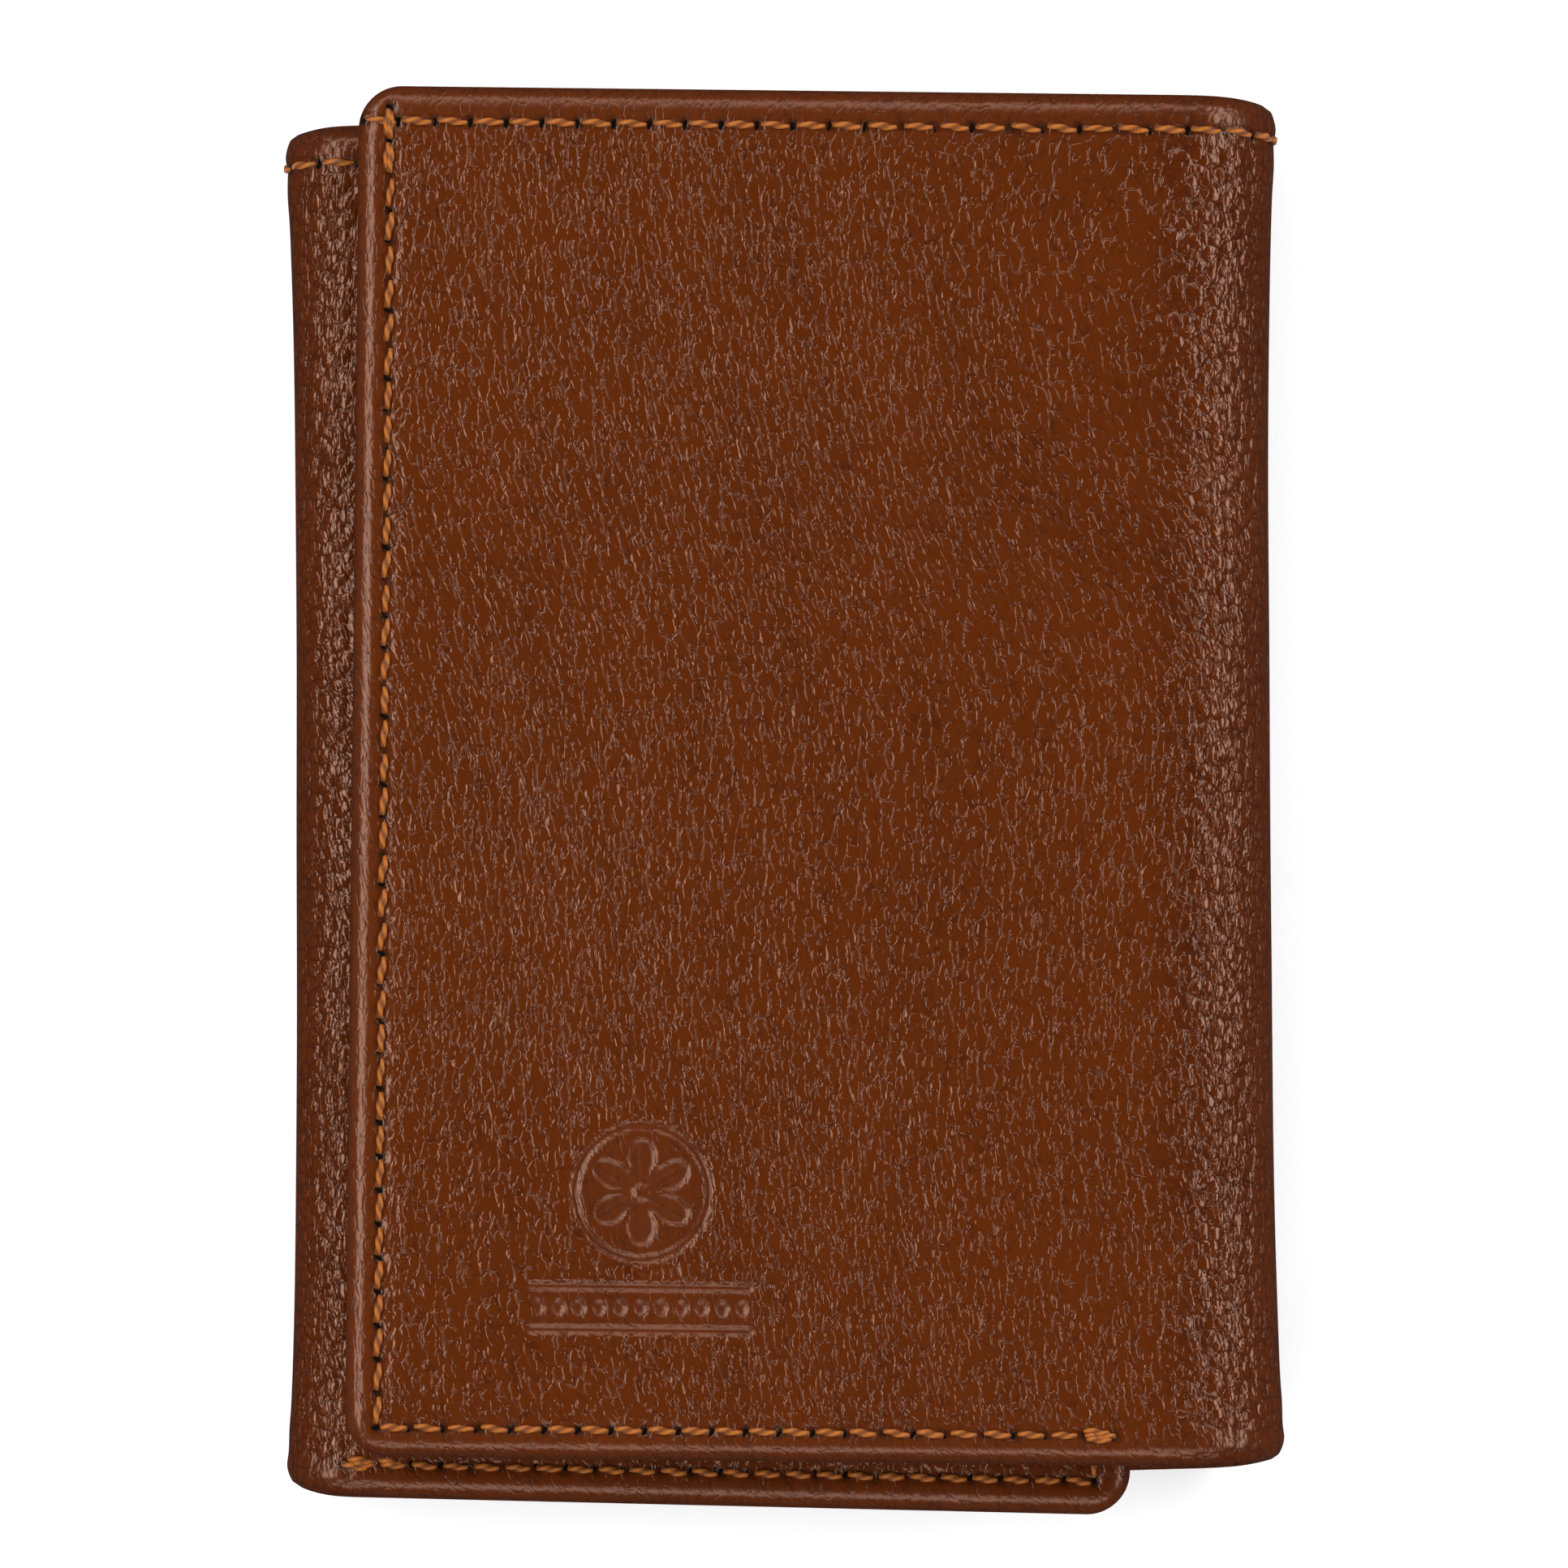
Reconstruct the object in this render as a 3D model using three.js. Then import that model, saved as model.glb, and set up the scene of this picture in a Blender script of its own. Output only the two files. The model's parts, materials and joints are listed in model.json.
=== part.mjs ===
// Trifold wallet, closed, lying on its spine panel.
// Millimetres, +Z up. X runs across the wallet from the left fold to the right fold, Y along its height.
// One long leather strip is folded twice: the inner flap is tucked in over the spine panel at the left
// fold, and the front flap closes over both from the right fold. Each panel carries its layers inwards
// from the cover: lining, gap for bills, bill wall, pocket backing and pockets.
import * as THREE from 'three';

// ---- Driving dimensions ----
const STRIP_HEIGHT = 110;          // height of the strip, and of every panel
const RIGHT_FOLD_X = 31.4;         // where the spine panel starts to bend up at the right
const LEFT_FOLD_X = -34.4;         // and at the left
const RIGHT_RADIUS = 8;            // outer radius of the right fold, around three panels
const LEFT_RADIUS = 5;             // outer radius of the left fold, around two panels
const FRONT_LENGTH = 65.3;         // front flap, from the end of its bend to its free edge
const INNER_LENGTH = 63.4;         // inner flap, likewise
const STRIP_CENTRE_Y = 0.37;       // height of the strip's middle line at the spine panel's centre
const SPINE_TURN = THREE.MathUtils.degToRad(1.56);       // the wallet is folded a little askew
const RIGHT_FOLD_TURN = THREE.MathUtils.degToRad(0.45);  // lean of the right fold line
const LEFT_FOLD_TURN = THREE.MathUtils.degToRad(0.1);    // lean of the left fold line
const FREE_CORNER = 3.4;           // corner radius at the free edges
const FOLD_SWEEP = [12, 168];      // degrees of the bend that the separate fold strip covers
const THREAD_SWEEP = [35, 168];    // and of the thread on its outside, which stays above the resting face
const ARC_STEPS = 18;
const CORNER_STEPS = 6;

// Layers of a panel, as depths below the outer face of its cover.
const LAYERS = {
  cover: [0, 1.2],
  lining: [1.3, 1.5],
  bill_wall: [1.9, 2.4],
  backing: [2.5, 2.7],
  pocket_upper: [2.8, 3.2],
  pocket_middle: [3.3, 3.7],
  pocket_lower: [3.8, 4.2],
  film: [2.8, 3.1],
  frame: [3.3, 4.2],
};

// The same layers where they bend, a little further apart.
const FOLD_LAYERS = { cover: [0, 1.2], lining: [1.5, 1.7], bill_wall: [2.1, 2.6] };

// Heights and insets within a panel.
const LINING_INSET = 1.2;          // lining stops this far inside the cover's free edges
const WALL_INSET = 0.5;
const WALL_TOP = 49;               // top edge of the bill wall, lower than the cover's
const POCKET_FOLD_INSET = 4;       // pockets stop this far from a fold
const POCKET_EDGE_INSET = 2.2;
const POCKET_BOTTOM = -52.5;
const BACKING_TOP = 46;
const POCKETS = {
  pocket_upper: { mouth: 42, bottom: -37 },
  pocket_middle: { mouth: 34, bottom: -45 },
  pocket_lower: { mouth: 26, bottom: POCKET_BOTTOM },
};
const WINDOW_BORDER = 7;           // leather left around the card window
const WINDOW_CORNER = 4;
const FRAME_TOP = 44;
const FILM_MARGIN = 2;             // film stops this far inside the frame's outer edge at the sides
const FILM_LAP = 4;                // and reaches this far past the window at top and bottom

// Sewing thread.
const THREAD_WIDTH = 0.7;
const THREAD_LEVELS = {            // depths of the thread, clear of the layer that it lies on
  outside: [-0.35, -0.1],
  in_bill_gap: [1.55, 1.8],
  on_wall: [2.5, 2.75],
  on_pockets: [4.3, 4.55],
};
const TOP_ROW = STRIP_HEIGHT / 2 - 2.2;
const BOTTOM_ROW = -STRIP_HEIGHT / 2 + 2.4;
const EDGE_ROW = 2.2;              // inset of the row along a free edge
const FOLD_STOP = 9;               // a bottom row ends this far from the fold line
const WALL_ROW = WALL_TOP - 2;
const POCKET_ROW = 1.2;            // inset of the row around a pocket
const ROW_END = 0.5;               // a row along a fold stops this short of it
const ROW_STEP = 2;                // a row down a free edge starts this far under the top row
const FOLD_LEAN = 2;               // room for a straight row beside a leaning fold line

// ---- Finishes ----
const FINISHES = {
  leather: { color: '#6a3a20', roughness: 0.42 },
  inner_leather: { color: '#5c3320', roughness: 0.5 },
  lining: { color: '#3a2a20', roughness: 0.9 },
  film: { color: '#dfe3e4', roughness: 0.15 },
  thread: { color: '#c8783a', roughness: 0.65 },
};

const wallet = new THREE.Group();
wallet.name = 'trifold_wallet';

function addPiece(name, finish, geometry) {
  const { color, roughness } = FINISHES[finish];
  const mesh = new THREE.Mesh(geometry, new THREE.MeshStandardMaterial({ color, roughness, metalness: 0 }));
  mesh.name = name;
  wallet.add(mesh);
  return mesh;
}

// ---- The fold lines ----
// A point of the strip is (s, v): s along the strip from the spine panel's centre, v up from its middle
// line. Laid flat around the spine panel, the strip is turned by SPINE_TURN. A fold line passes through
// (x, 0) and leans by turn. side is +1 for the right fold and -1 for the left.
const FOLDS = {
  right: { side: 1, x: RIGHT_FOLD_X, turn: RIGHT_FOLD_TURN, radius: RIGHT_RADIUS },
  left: { side: -1, x: LEFT_FOLD_X, turn: LEFT_FOLD_TURN, radius: LEFT_RADIUS },
};

// Length of cover leather that the bend takes up, measured in the middle of its thickness.
function bendLength(fold) {
  return Math.PI * (fold.radius - LAYERS.cover[1] / 2);
}

function layFlat(s, v) {
  const c = Math.cos(SPINE_TURN);
  const k = Math.sin(SPINE_TURN);
  return [s * c - v * k, s * k + v * c + STRIP_CENTRE_Y];
}

// Distance beyond the fold line and height along it.
function alongFold(fold, s, v) {
  const [x, y] = layFlat(s, v);
  const c = Math.cos(fold.turn);
  const k = Math.sin(fold.turn);
  return { beyond: fold.side * ((x - fold.x) * c + y * k), up: y * c - (x - fold.x) * k };
}

function onFold(fold, beyond, up) {
  const c = Math.cos(fold.turn);
  const k = Math.sin(fold.turn);
  return new THREE.Vector2(fold.x + fold.side * beyond * c - up * k, up * c + fold.side * beyond * k);
}

// The s of the strip at height v that lies a given distance beyond the fold line.
function sAtFold(fold, v, beyond) {
  const lean = SPINE_TURN - fold.turn;
  const reach = fold.side * beyond + v * Math.sin(lean) + fold.x * Math.cos(fold.turn)
    - STRIP_CENTRE_Y * Math.sin(fold.turn);
  return reach / Math.cos(lean);
}

// ---- The three panels ----
// Each maps (s, v) to the plane it lies in and gives the height of a depth below its cover's outer face.
// way is the sense in which s grows from the panel's near edge, at a fold, to its far edge.
function foldedOver(fold) {
  return (s, v) => {
    const { beyond, up } = alongFold(fold, s, v);
    return onFold(fold, bendLength(fold) - beyond, up);
  };
}

function freeEdge(fold, length) {
  return fold.side * (Math.abs(sAtFold(fold, 0, bendLength(fold))) + length);
}

const PANELS = {
  spine: {
    place: (s, v) => new THREE.Vector2(...layFlat(s, v)),
    level: (depth) => depth,
    near: (v) => sAtFold(FOLDS.left, v, 0),
    far: (v) => sAtFold(FOLDS.right, v, 0),
    way: 1,
    corner: 0,
  },
  front_flap: {
    place: foldedOver(FOLDS.right),
    level: (depth) => 2 * RIGHT_RADIUS - depth,
    near: (v) => sAtFold(FOLDS.right, v, bendLength(FOLDS.right)),
    far: () => freeEdge(FOLDS.right, FRONT_LENGTH),
    way: 1,
    corner: FREE_CORNER,
  },
  inner_flap: {
    place: foldedOver(FOLDS.left),
    level: (depth) => 2 * LEFT_RADIUS - depth,
    near: (v) => sAtFold(FOLDS.left, v, bendLength(FOLDS.left)),
    far: () => freeEdge(FOLDS.left, INNER_LENGTH),
    way: -1,
    corner: FREE_CORNER,
  },
};

// Outline between the near edge and the far edge, drawn in by the insets, with round corners at the far edge.
function panelOutline(panel, inset, bottom, top, corner = 0) {
  const { way } = panel;
  const near = (v) => panel.near(v) + way * inset.near;
  const far = (v) => panel.far(v) - way * inset.far;
  const points = [[near(bottom), bottom]];
  for (const [v, turn] of [[bottom, -1], [top, 1]]) {
    for (let i = 0; i <= (corner > 0 ? CORNER_STEPS : 0); i += 1) {
      const angle = (Math.PI / 2) * (turn < 0 ? i / CORNER_STEPS : 1 - i / CORNER_STEPS);
      const back = corner * (1 - Math.sin(angle));
      const rise = corner * (1 - Math.cos(angle));
      points.push([far(v) - way * back, v - turn * rise]);
    }
  }
  points.push([near(top), top]);
  return points;
}

// A flat layer of a panel: the outline, with an optional hole, at the depths given.
function flatLayer(panel, outline, depths, hole) {
  const shape = new THREE.Shape(outline.map(([s, v]) => panel.place(s, v)));
  if (hole) shape.holes.push(new THREE.Path(hole.map(([s, v]) => panel.place(s, v))));
  const levels = depths.map(panel.level);
  const low = Math.min(...levels);
  const geometry = new THREE.ExtrudeGeometry(shape, {
    depth: Math.max(...levels) - low,
    bevelEnabled: false,
    steps: 1,
  });
  return geometry.translate(0, 0, low);
}

// A band of constant width along a path of straight runs that meet at right angles: at a corner the two
// runs' side steps add up, which gives the mitre.
function bandOutline(path, width) {
  const left = [];
  const right = [];
  path.forEach((point, i) => {
    const into = i > 0 ? unit(path[i - 1], point) : [0, 0];
    const out = i < path.length - 1 ? unit(point, path[i + 1]) : [0, 0];
    const step = [-(into[1] + out[1]) * width / 2, (into[0] + out[0]) * width / 2];
    left.push([point[0] + step[0], point[1] + step[1]]);
    right.unshift([point[0] - step[0], point[1] - step[1]]);
  });
  return [...left, ...right];
}

function unit(from, to) {
  const length = Math.hypot(to[0] - from[0], to[1] - from[1]);
  return [(to[0] - from[0]) / length, (to[1] - from[1]) / length];
}

// ---- The layers of every panel ----
const TOP = STRIP_HEIGHT / 2;
const BOTTOM = -STRIP_HEIGHT / 2;

function panelInset(name, edge, fold) {
  return name === 'spine' ? { near: fold, far: fold } : { near: fold, far: edge };
}

function coverAndWall(name) {
  const panel = PANELS[name];
  const cover = panelOutline(panel, panelInset(name, 0, 0), BOTTOM, TOP, panel.corner);
  addPiece(`${name}_cover`, 'leather', flatLayer(panel, cover, LAYERS.cover));
  const liningEnds = [BOTTOM + LINING_INSET, TOP - LINING_INSET];
  const lining = panelOutline(panel, panelInset(name, LINING_INSET, 0), ...liningEnds);
  addPiece(`${name}_lining`, 'lining', flatLayer(panel, lining, LAYERS.lining));
  const wallEnds = [BOTTOM + WALL_INSET, WALL_TOP];
  const wall = panelOutline(panel, panelInset(name, WALL_INSET, 0), ...wallEnds, panel.corner);
  addPiece(`${name}_bill_wall`, 'inner_leather', flatLayer(panel, wall, LAYERS.bill_wall));
}

function backing(name, top) {
  const inset = panelInset(name, POCKET_EDGE_INSET, POCKET_FOLD_INSET);
  const outline = panelOutline(PANELS[name], inset, POCKET_BOTTOM, top);
  addPiece(`${name}_pocket_backing`, 'lining', flatLayer(PANELS[name], outline, LAYERS.backing));
}

function cardPockets(name) {
  backing(name, BACKING_TOP);
  const inset = panelInset(name, POCKET_EDGE_INSET, POCKET_FOLD_INSET);
  for (const [pocket, { mouth, bottom }] of Object.entries(POCKETS)) {
    const outline = panelOutline(PANELS[name], inset, bottom, mouth);
    addPiece(`${name}_card_${pocket}`, 'inner_leather', flatLayer(PANELS[name], outline, LAYERS[pocket]));
  }
}

function cardWindow(name) {
  const panel = PANELS[name];
  backing(name, BACKING_TOP);
  const inset = panelInset(name, POCKET_EDGE_INSET, POCKET_FOLD_INSET);
  const outer = panelOutline(panel, inset, POCKET_BOTTOM, FRAME_TOP);
  const holeInset = { near: inset.near + WINDOW_BORDER, far: inset.far + WINDOW_BORDER };
  const low = POCKET_BOTTOM + WINDOW_BORDER;
  const high = FRAME_TOP - WINDOW_BORDER;
  const hole = panelOutline(panel, holeInset, low, high, WINDOW_CORNER);
  addPiece(`${name}_window_frame`, 'inner_leather', flatLayer(panel, outer, LAYERS.frame, hole));
  const filmInset = { near: inset.near + FILM_MARGIN, far: inset.far + FILM_MARGIN };
  const film = panelOutline(panel, filmInset, low - FILM_LAP, high + FILM_LAP);
  addPiece(`${name}_window_film`, 'film', flatLayer(panel, film, LAYERS.film));
}

// ---- The fold strips ----
// A bent layer: an arc of constant thickness about the fold's centre line, carried along the fold line.
function bentLayer(fold, sweep, depths, bottom, top) {
  const [outer, inner] = depths.map((depth) => fold.radius - depth);
  const [from, to] = sweep.map(THREE.MathUtils.degToRad);
  const shape = new THREE.Shape();
  for (let i = 0; i <= ARC_STEPS; i += 1) {
    const angle = from + (to - from) * (i / ARC_STEPS);
    const x = fold.side * outer * Math.sin(angle);
    const z = fold.radius - outer * Math.cos(angle);
    if (i === 0) shape.moveTo(x, z);
    else shape.lineTo(x, z);
  }
  for (let i = ARC_STEPS; i >= 0; i -= 1) {
    const angle = from + (to - from) * (i / ARC_STEPS);
    shape.lineTo(fold.side * inner * Math.sin(angle), fold.radius - inner * Math.cos(angle));
  }
  const geometry = new THREE.ExtrudeGeometry(shape, { depth: top - bottom, bevelEnabled: false, steps: 1 });
  geometry.translate(0, 0, -top);
  return geometry.rotateX(Math.PI / 2);
}

function addBent(name, finish, fold, depths, bottom, top, sweep = FOLD_SWEEP) {
  const mesh = addPiece(name, finish, bentLayer(fold, sweep, depths, bottom, top));
  mesh.position.x = fold.x;
  mesh.rotation.z = fold.turn;
}

function foldStrip(side) {
  const fold = FOLDS[side];
  const middle = sAtFold(fold, 0, bendLength(fold) / 2);
  const { up } = alongFold(fold, middle, 0);
  addBent(`${side}_fold_cover`, 'leather', fold, FOLD_LAYERS.cover, up + BOTTOM, up + TOP);
  addBent(`${side}_fold_lining`, 'lining', fold, FOLD_LAYERS.lining, up + BOTTOM + LINING_INSET,
    up + TOP - LINING_INSET);
  addBent(`${side}_fold_bill_wall`, 'inner_leather', fold, FOLD_LAYERS.bill_wall, up + BOTTOM + WALL_INSET,
    up + WALL_TOP);
  addBent(`${side}_fold_top_stitching`, 'thread', fold, THREAD_LEVELS.outside,
    up + TOP_ROW - THREAD_WIDTH / 2, up + TOP_ROW + THREAD_WIDTH / 2, THREAD_SWEEP);
}

// ---- Sewing ----
function threadRow(name, panelName, path, level) {
  const outline = bandOutline(path, THREAD_WIDTH);
  addPiece(name, 'thread', flatLayer(PANELS[panelName], outline, THREAD_LEVELS[level]));
}

function topRow(name, level) {
  const panel = PANELS[name];
  const end = name === 'spine' ? ROW_END : EDGE_ROW;
  const path = [
    [panel.near(TOP_ROW) + panel.way * ROW_END, TOP_ROW],
    [panel.far(TOP_ROW) - panel.way * end, TOP_ROW],
  ];
  threadRow(`${name}_top_stitching`, name, path, level);
}

// The row that closes a flap: down its free edge from just under the top row, then along the bottom.
function edgeRow(name) {
  const panel = PANELS[name];
  const edge = panel.far(0) - panel.way * EDGE_ROW;
  const path = [
    [edge, TOP_ROW - ROW_STEP],
    [edge, BOTTOM_ROW],
    [panel.near(BOTTOM_ROW) + panel.way * FOLD_STOP, BOTTOM_ROW],
  ];
  threadRow(`${name}_edge_stitching`, name, path, 'outside');
}

function spineBottomRow() {
  const panel = PANELS.spine;
  const path = [
    [panel.near(BOTTOM_ROW) + ROW_END, BOTTOM_ROW],
    [panel.far(BOTTOM_ROW) - ROW_END, BOTTOM_ROW],
  ];
  threadRow('spine_bottom_stitching', 'spine', path, 'in_bill_gap');
}

function wallRow(name) {
  const panel = PANELS[name];
  const path = [
    [panel.near(WALL_ROW) + panel.way * ROW_END, WALL_ROW],
    [panel.far(WALL_ROW) - panel.way * EDGE_ROW, WALL_ROW],
  ];
  threadRow(`${name}_bill_wall_stitching`, name, path, 'on_wall');
}

// The row that holds the pockets: down one side, across the bottom and up the other.
function pocketRow(name, top) {
  const panel = PANELS[name];
  const foldInset = POCKET_FOLD_INSET + POCKET_ROW + FOLD_LEAN;
  const near = panel.near(BOTTOM) + panel.way * foldInset;
  const far = panel.far(BOTTOM) - panel.way * (name === 'spine' ? foldInset : POCKET_EDGE_INSET + POCKET_ROW);
  const low = POCKET_BOTTOM + POCKET_ROW;
  const path = [[near, top], [near, low], [far, low], [far, top]];
  threadRow(`${name}_pocket_stitching`, name, path, 'on_pockets');
}

for (const name of Object.keys(PANELS)) coverAndWall(name);
cardPockets('spine');
cardPockets('front_flap');
cardWindow('inner_flap');
foldStrip('right');
foldStrip('left');
topRow('front_flap', 'outside');
topRow('inner_flap', 'outside');
topRow('spine', 'in_bill_gap');
spineBottomRow();
edgeRow('front_flap');
edgeRow('inner_flap');
for (const name of Object.keys(PANELS)) wallRow(name);
pocketRow('spine', POCKETS.pocket_lower.mouth - 1);
pocketRow('front_flap', POCKETS.pocket_lower.mouth - 1);
pocketRow('inner_flap', FRAME_TOP - POCKET_ROW);

export default wallet;
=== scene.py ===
import json
import math

import bmesh
import bpy
import numpy as np
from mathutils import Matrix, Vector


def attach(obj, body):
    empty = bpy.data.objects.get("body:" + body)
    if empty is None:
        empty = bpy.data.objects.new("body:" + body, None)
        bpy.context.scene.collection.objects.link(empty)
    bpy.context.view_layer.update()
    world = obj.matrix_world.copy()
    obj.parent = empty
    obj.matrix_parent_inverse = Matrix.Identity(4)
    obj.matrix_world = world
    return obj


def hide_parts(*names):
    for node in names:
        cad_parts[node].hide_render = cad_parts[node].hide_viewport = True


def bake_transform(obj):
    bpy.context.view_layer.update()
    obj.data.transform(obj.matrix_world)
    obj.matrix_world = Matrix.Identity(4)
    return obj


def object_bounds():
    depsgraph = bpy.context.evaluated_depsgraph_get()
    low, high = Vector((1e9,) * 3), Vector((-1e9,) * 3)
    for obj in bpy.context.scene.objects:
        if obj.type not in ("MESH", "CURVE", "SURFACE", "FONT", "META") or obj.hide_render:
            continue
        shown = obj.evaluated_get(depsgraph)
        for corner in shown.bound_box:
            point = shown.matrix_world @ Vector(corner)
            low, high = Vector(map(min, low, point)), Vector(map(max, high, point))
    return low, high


bl_info = {
    "name": "Trifold Wallet",
    "version": (1, 0, 0),
    "blender": (4, 5, 0),
    "location": "3D View > Sidebar > Wallet",
    "description": "Makes a closed trifold leather wallet around its folding frame",
    "category": "Add Mesh",
}

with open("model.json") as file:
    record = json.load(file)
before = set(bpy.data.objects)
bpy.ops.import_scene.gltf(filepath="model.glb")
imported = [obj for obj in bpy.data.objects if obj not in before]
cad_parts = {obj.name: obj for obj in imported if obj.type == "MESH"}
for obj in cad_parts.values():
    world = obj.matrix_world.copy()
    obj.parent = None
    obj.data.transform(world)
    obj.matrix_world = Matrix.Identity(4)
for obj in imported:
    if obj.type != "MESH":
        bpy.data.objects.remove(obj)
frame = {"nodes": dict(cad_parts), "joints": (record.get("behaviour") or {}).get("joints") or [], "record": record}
CAD_BOX = [list(corner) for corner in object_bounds()]
MM = 0.001
JOINTS = {joint["name"]: joint for joint in frame["joints"]}


# ---- The strip and its two folds ----
# The wallet is one strip. A point of it is (s, v, depth): s along the strip from the middle of the spine
# panel, v up from its middle line, and depth inwards from the outer face of the cover leather.
class Fold:
    """A bend of the strip, read from its two hinges.

    The hinges stand a quarter of pi radii beyond the fold line, and half of pi radii apart in height."""

    def __init__(self, side, lower, upper):
        low, high = (np.array(JOINTS[name]["pos_m"]) for name in (lower, upper))
        axis = side * np.array(JOINTS[lower]["axis"])
        self.side = side
        self.up = axis[:2]
        self.outward = side * np.array([axis[1], -axis[0]])
        self.radius = (high[2] - low[2]) * 2 / math.pi
        self.outer = (high[2] + low[2]) / 2
        self.line = low[:2] - self.outward * self.radius * math.pi / 4
        self.bend = math.pi * self.radius


FOLDS = {
    "right": Fold(1, "right_fold_lower", "right_fold_upper"),
    "left": Fold(-1, "left_fold_lower", "left_fold_upper"),
}
FOLD_OF = {"front_flap": "right", "inner_flap": "left"}


def corners_of(node):
    """All vertices of a CAD node, in metres."""
    mesh = frame["nodes"][node].data
    points = np.zeros(len(mesh.vertices) * 3, np.float32)
    mesh.vertices.foreach_get("co", points)
    return points.reshape(-1, 3).astype(float)


def strip_axes():
    """Origin, direction and height of the strip, from the spine cover's two slanting ends.

    Each end's middle lies on the strip's middle line."""
    points = corners_of("spine_cover")[:, :2]
    ends = [points[points[:, 0] < 0], points[points[:, 0] > 0]]
    tops = [end[end[:, 1].argmax()] for end in ends]
    bottoms = [end[end[:, 1].argmin()] for end in ends]
    middles = [(top + bottom) / 2 for top, bottom in zip(tops, bottoms)]
    along = middles[1] - middles[0]
    along /= np.linalg.norm(along)
    up = np.array([-along[1], along[0]])
    origin = middles[0] - along * middles[0][0] / along[0]
    return origin, along, up, float((tops[0] - bottoms[0]) @ up)


ORIGIN, ALONG, UP, HEIGHT = strip_axes()
TOP = HEIGHT / 2
FLARE = 0.85 * MM         # how much fuller a bend is at its ends than in the middle
FULL = {"right": -0.3 * MM, "left": 0.25 * MM}      # how much fuller a whole bend is than its frame
SHRINK = 0.012            # share by which a bend's crest is shorter than the panels
SAG = 0.5 * MM            # how far a flap's free edge hangs below its fold
CROWN = 0.35 * MM         # how far a flap's middle stands up
FLAP_LENGTH = 60 * MM     # rough length of a flap past its bend
FAR = 1.0                 # a distance longer than any on the wallet


def laid_flat(s, v):
    """Where strip points would lie with the strip unfolded on the table."""
    return ORIGIN + s[..., None] * ALONG + v[..., None] * UP


def wrap(s, v, depth):
    """Places strip points in the frame that all pieces share.

    Beyond a fold line by t, the strip turns through t over the neutral radius about the fold's middle, up
    to half a turn, and what is left runs back flat. A point lies its depth inside the outer radius."""
    s, v, depth = np.broadcast_arrays(s, v, depth)
    flat = laid_flat(s, v)
    place = flat.copy()
    height = depth.astype(float).copy()
    for name, fold in FOLDS.items():
        beyond = (flat - fold.line) @ fold.outward
        level = (flat - fold.line) @ fold.up
        angle = np.clip(beyond / fold.radius, 0, math.pi)
        rest = np.maximum(beyond - fold.bend, 0)
        reach = rest / FLAP_LENGTH
        soft = CROWN * np.sin(math.pi * np.clip(reach, 0, 1)) * (1 - (v / TOP) ** 2) - SAG * reach**2
        level = level * (1 - SHRINK * np.sin(angle) ** 4)
        flare = (FULL[name] + FLARE * (level / TOP) ** 4) * np.sin(angle) ** 2
        radius = fold.outer - depth + flare + soft
        bent = fold.line + (radius * np.sin(angle) - rest)[..., None] * fold.outward
        bent = bent + level[..., None] * fold.up
        place = np.where((beyond > 0)[..., None], bent, place)
        height = np.where(beyond > 0, fold.outer - radius * np.cos(angle), height)
    return np.concatenate([place, height[..., None]], axis=-1)


def unwrap(points, body):
    """The strip coordinates of points on a flat panel: wrap, turned round."""
    flat, depth = points[:, :2], points[:, 2]
    if body in FOLD_OF:
        fold = FOLDS[FOLD_OF[body]]
        beyond = fold.bend - (flat - fold.line) @ fold.outward
        level = (flat - fold.line) @ fold.up
        flat = fold.line + beyond[:, None] * fold.outward + level[:, None] * fold.up
        depth = 2 * fold.outer - depth
    return (flat - ORIGIN) @ ALONG, (flat - ORIGIN) @ UP, depth


BODIES = frame["record"]["behaviour"]["bodies"]


def extent(node):
    """Lowest and highest s, v and depth of a CAD node on a flat panel."""
    body = next(name for name, members in BODIES.items() if node in members)
    return [(float(a.min()), float(a.max())) for a in unwrap(corners_of(node), body)]


def at_fold(fold, beyond):
    """The line across the strip that lies so far beyond a fold line, as s for a given v."""
    def edge(v):
        start = ORIGIN + np.multiply.outer(v, UP)
        return (beyond - (start - fold.line) @ fold.outward) / (ALONG @ fold.outward)
    return edge


def straight(s):
    """A line across the strip at right angles to it."""
    def edge(v):
        return s + 0 * np.asarray(v, float)
    return edge


# ---- Mesh making ----
FINE_READINGS = 6000      # places at which the wanted step is read along an edge
SHUT = 1e-9               # two faces this near to a free edge share their vertices


def spaced(low, high, step, fine=()):
    """Coordinates from low to high about step apart, and closer inside each (middle, reach, step) of fine.

    The wanted number of steps per metre is summed along the way, and read off at whole numbers. Past the
    reach of a fine part, the step grows back over one more reach and 2 mm."""
    at = np.linspace(low, high, FINE_READINGS)
    size = np.full_like(at, step)
    for middle, reach, close in fine:
        away = np.clip((np.abs(at - middle) - reach) / (2 * MM + reach), 0, 1)
        size = np.minimum(size, close + (step - close) * away)
    count = np.concatenate([[0], np.cumsum(np.diff(at) * 2 / (size[1:] + size[:-1]))])
    wanted = np.linspace(0, count[-1], int(math.ceil(count[-1])) + 1)
    return np.interp(wanted, count, at)


def new_object(name, points, faces, material):
    """A smooth-shaded mesh object in the scene, with its material."""
    mesh = bpy.data.meshes.new(name)
    mesh.from_pydata(points.reshape(-1, 3).tolist(), [], faces)
    mesh.materials.append(material)
    mesh.polygons.foreach_set("use_smooth", np.ones(len(mesh.polygons), bool))
    mesh.update()
    thing = bpy.data.objects.new(name, mesh)
    bpy.context.scene.collection.objects.link(thing)
    return thing


def give_attribute(thing, name, values):
    """Stores one number per vertex, for the material to read."""
    attribute = thing.data.attributes.new(name, "FLOAT", "POINT")
    attribute.data.foreach_set("value", values.astype(np.float32).ravel())


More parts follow.
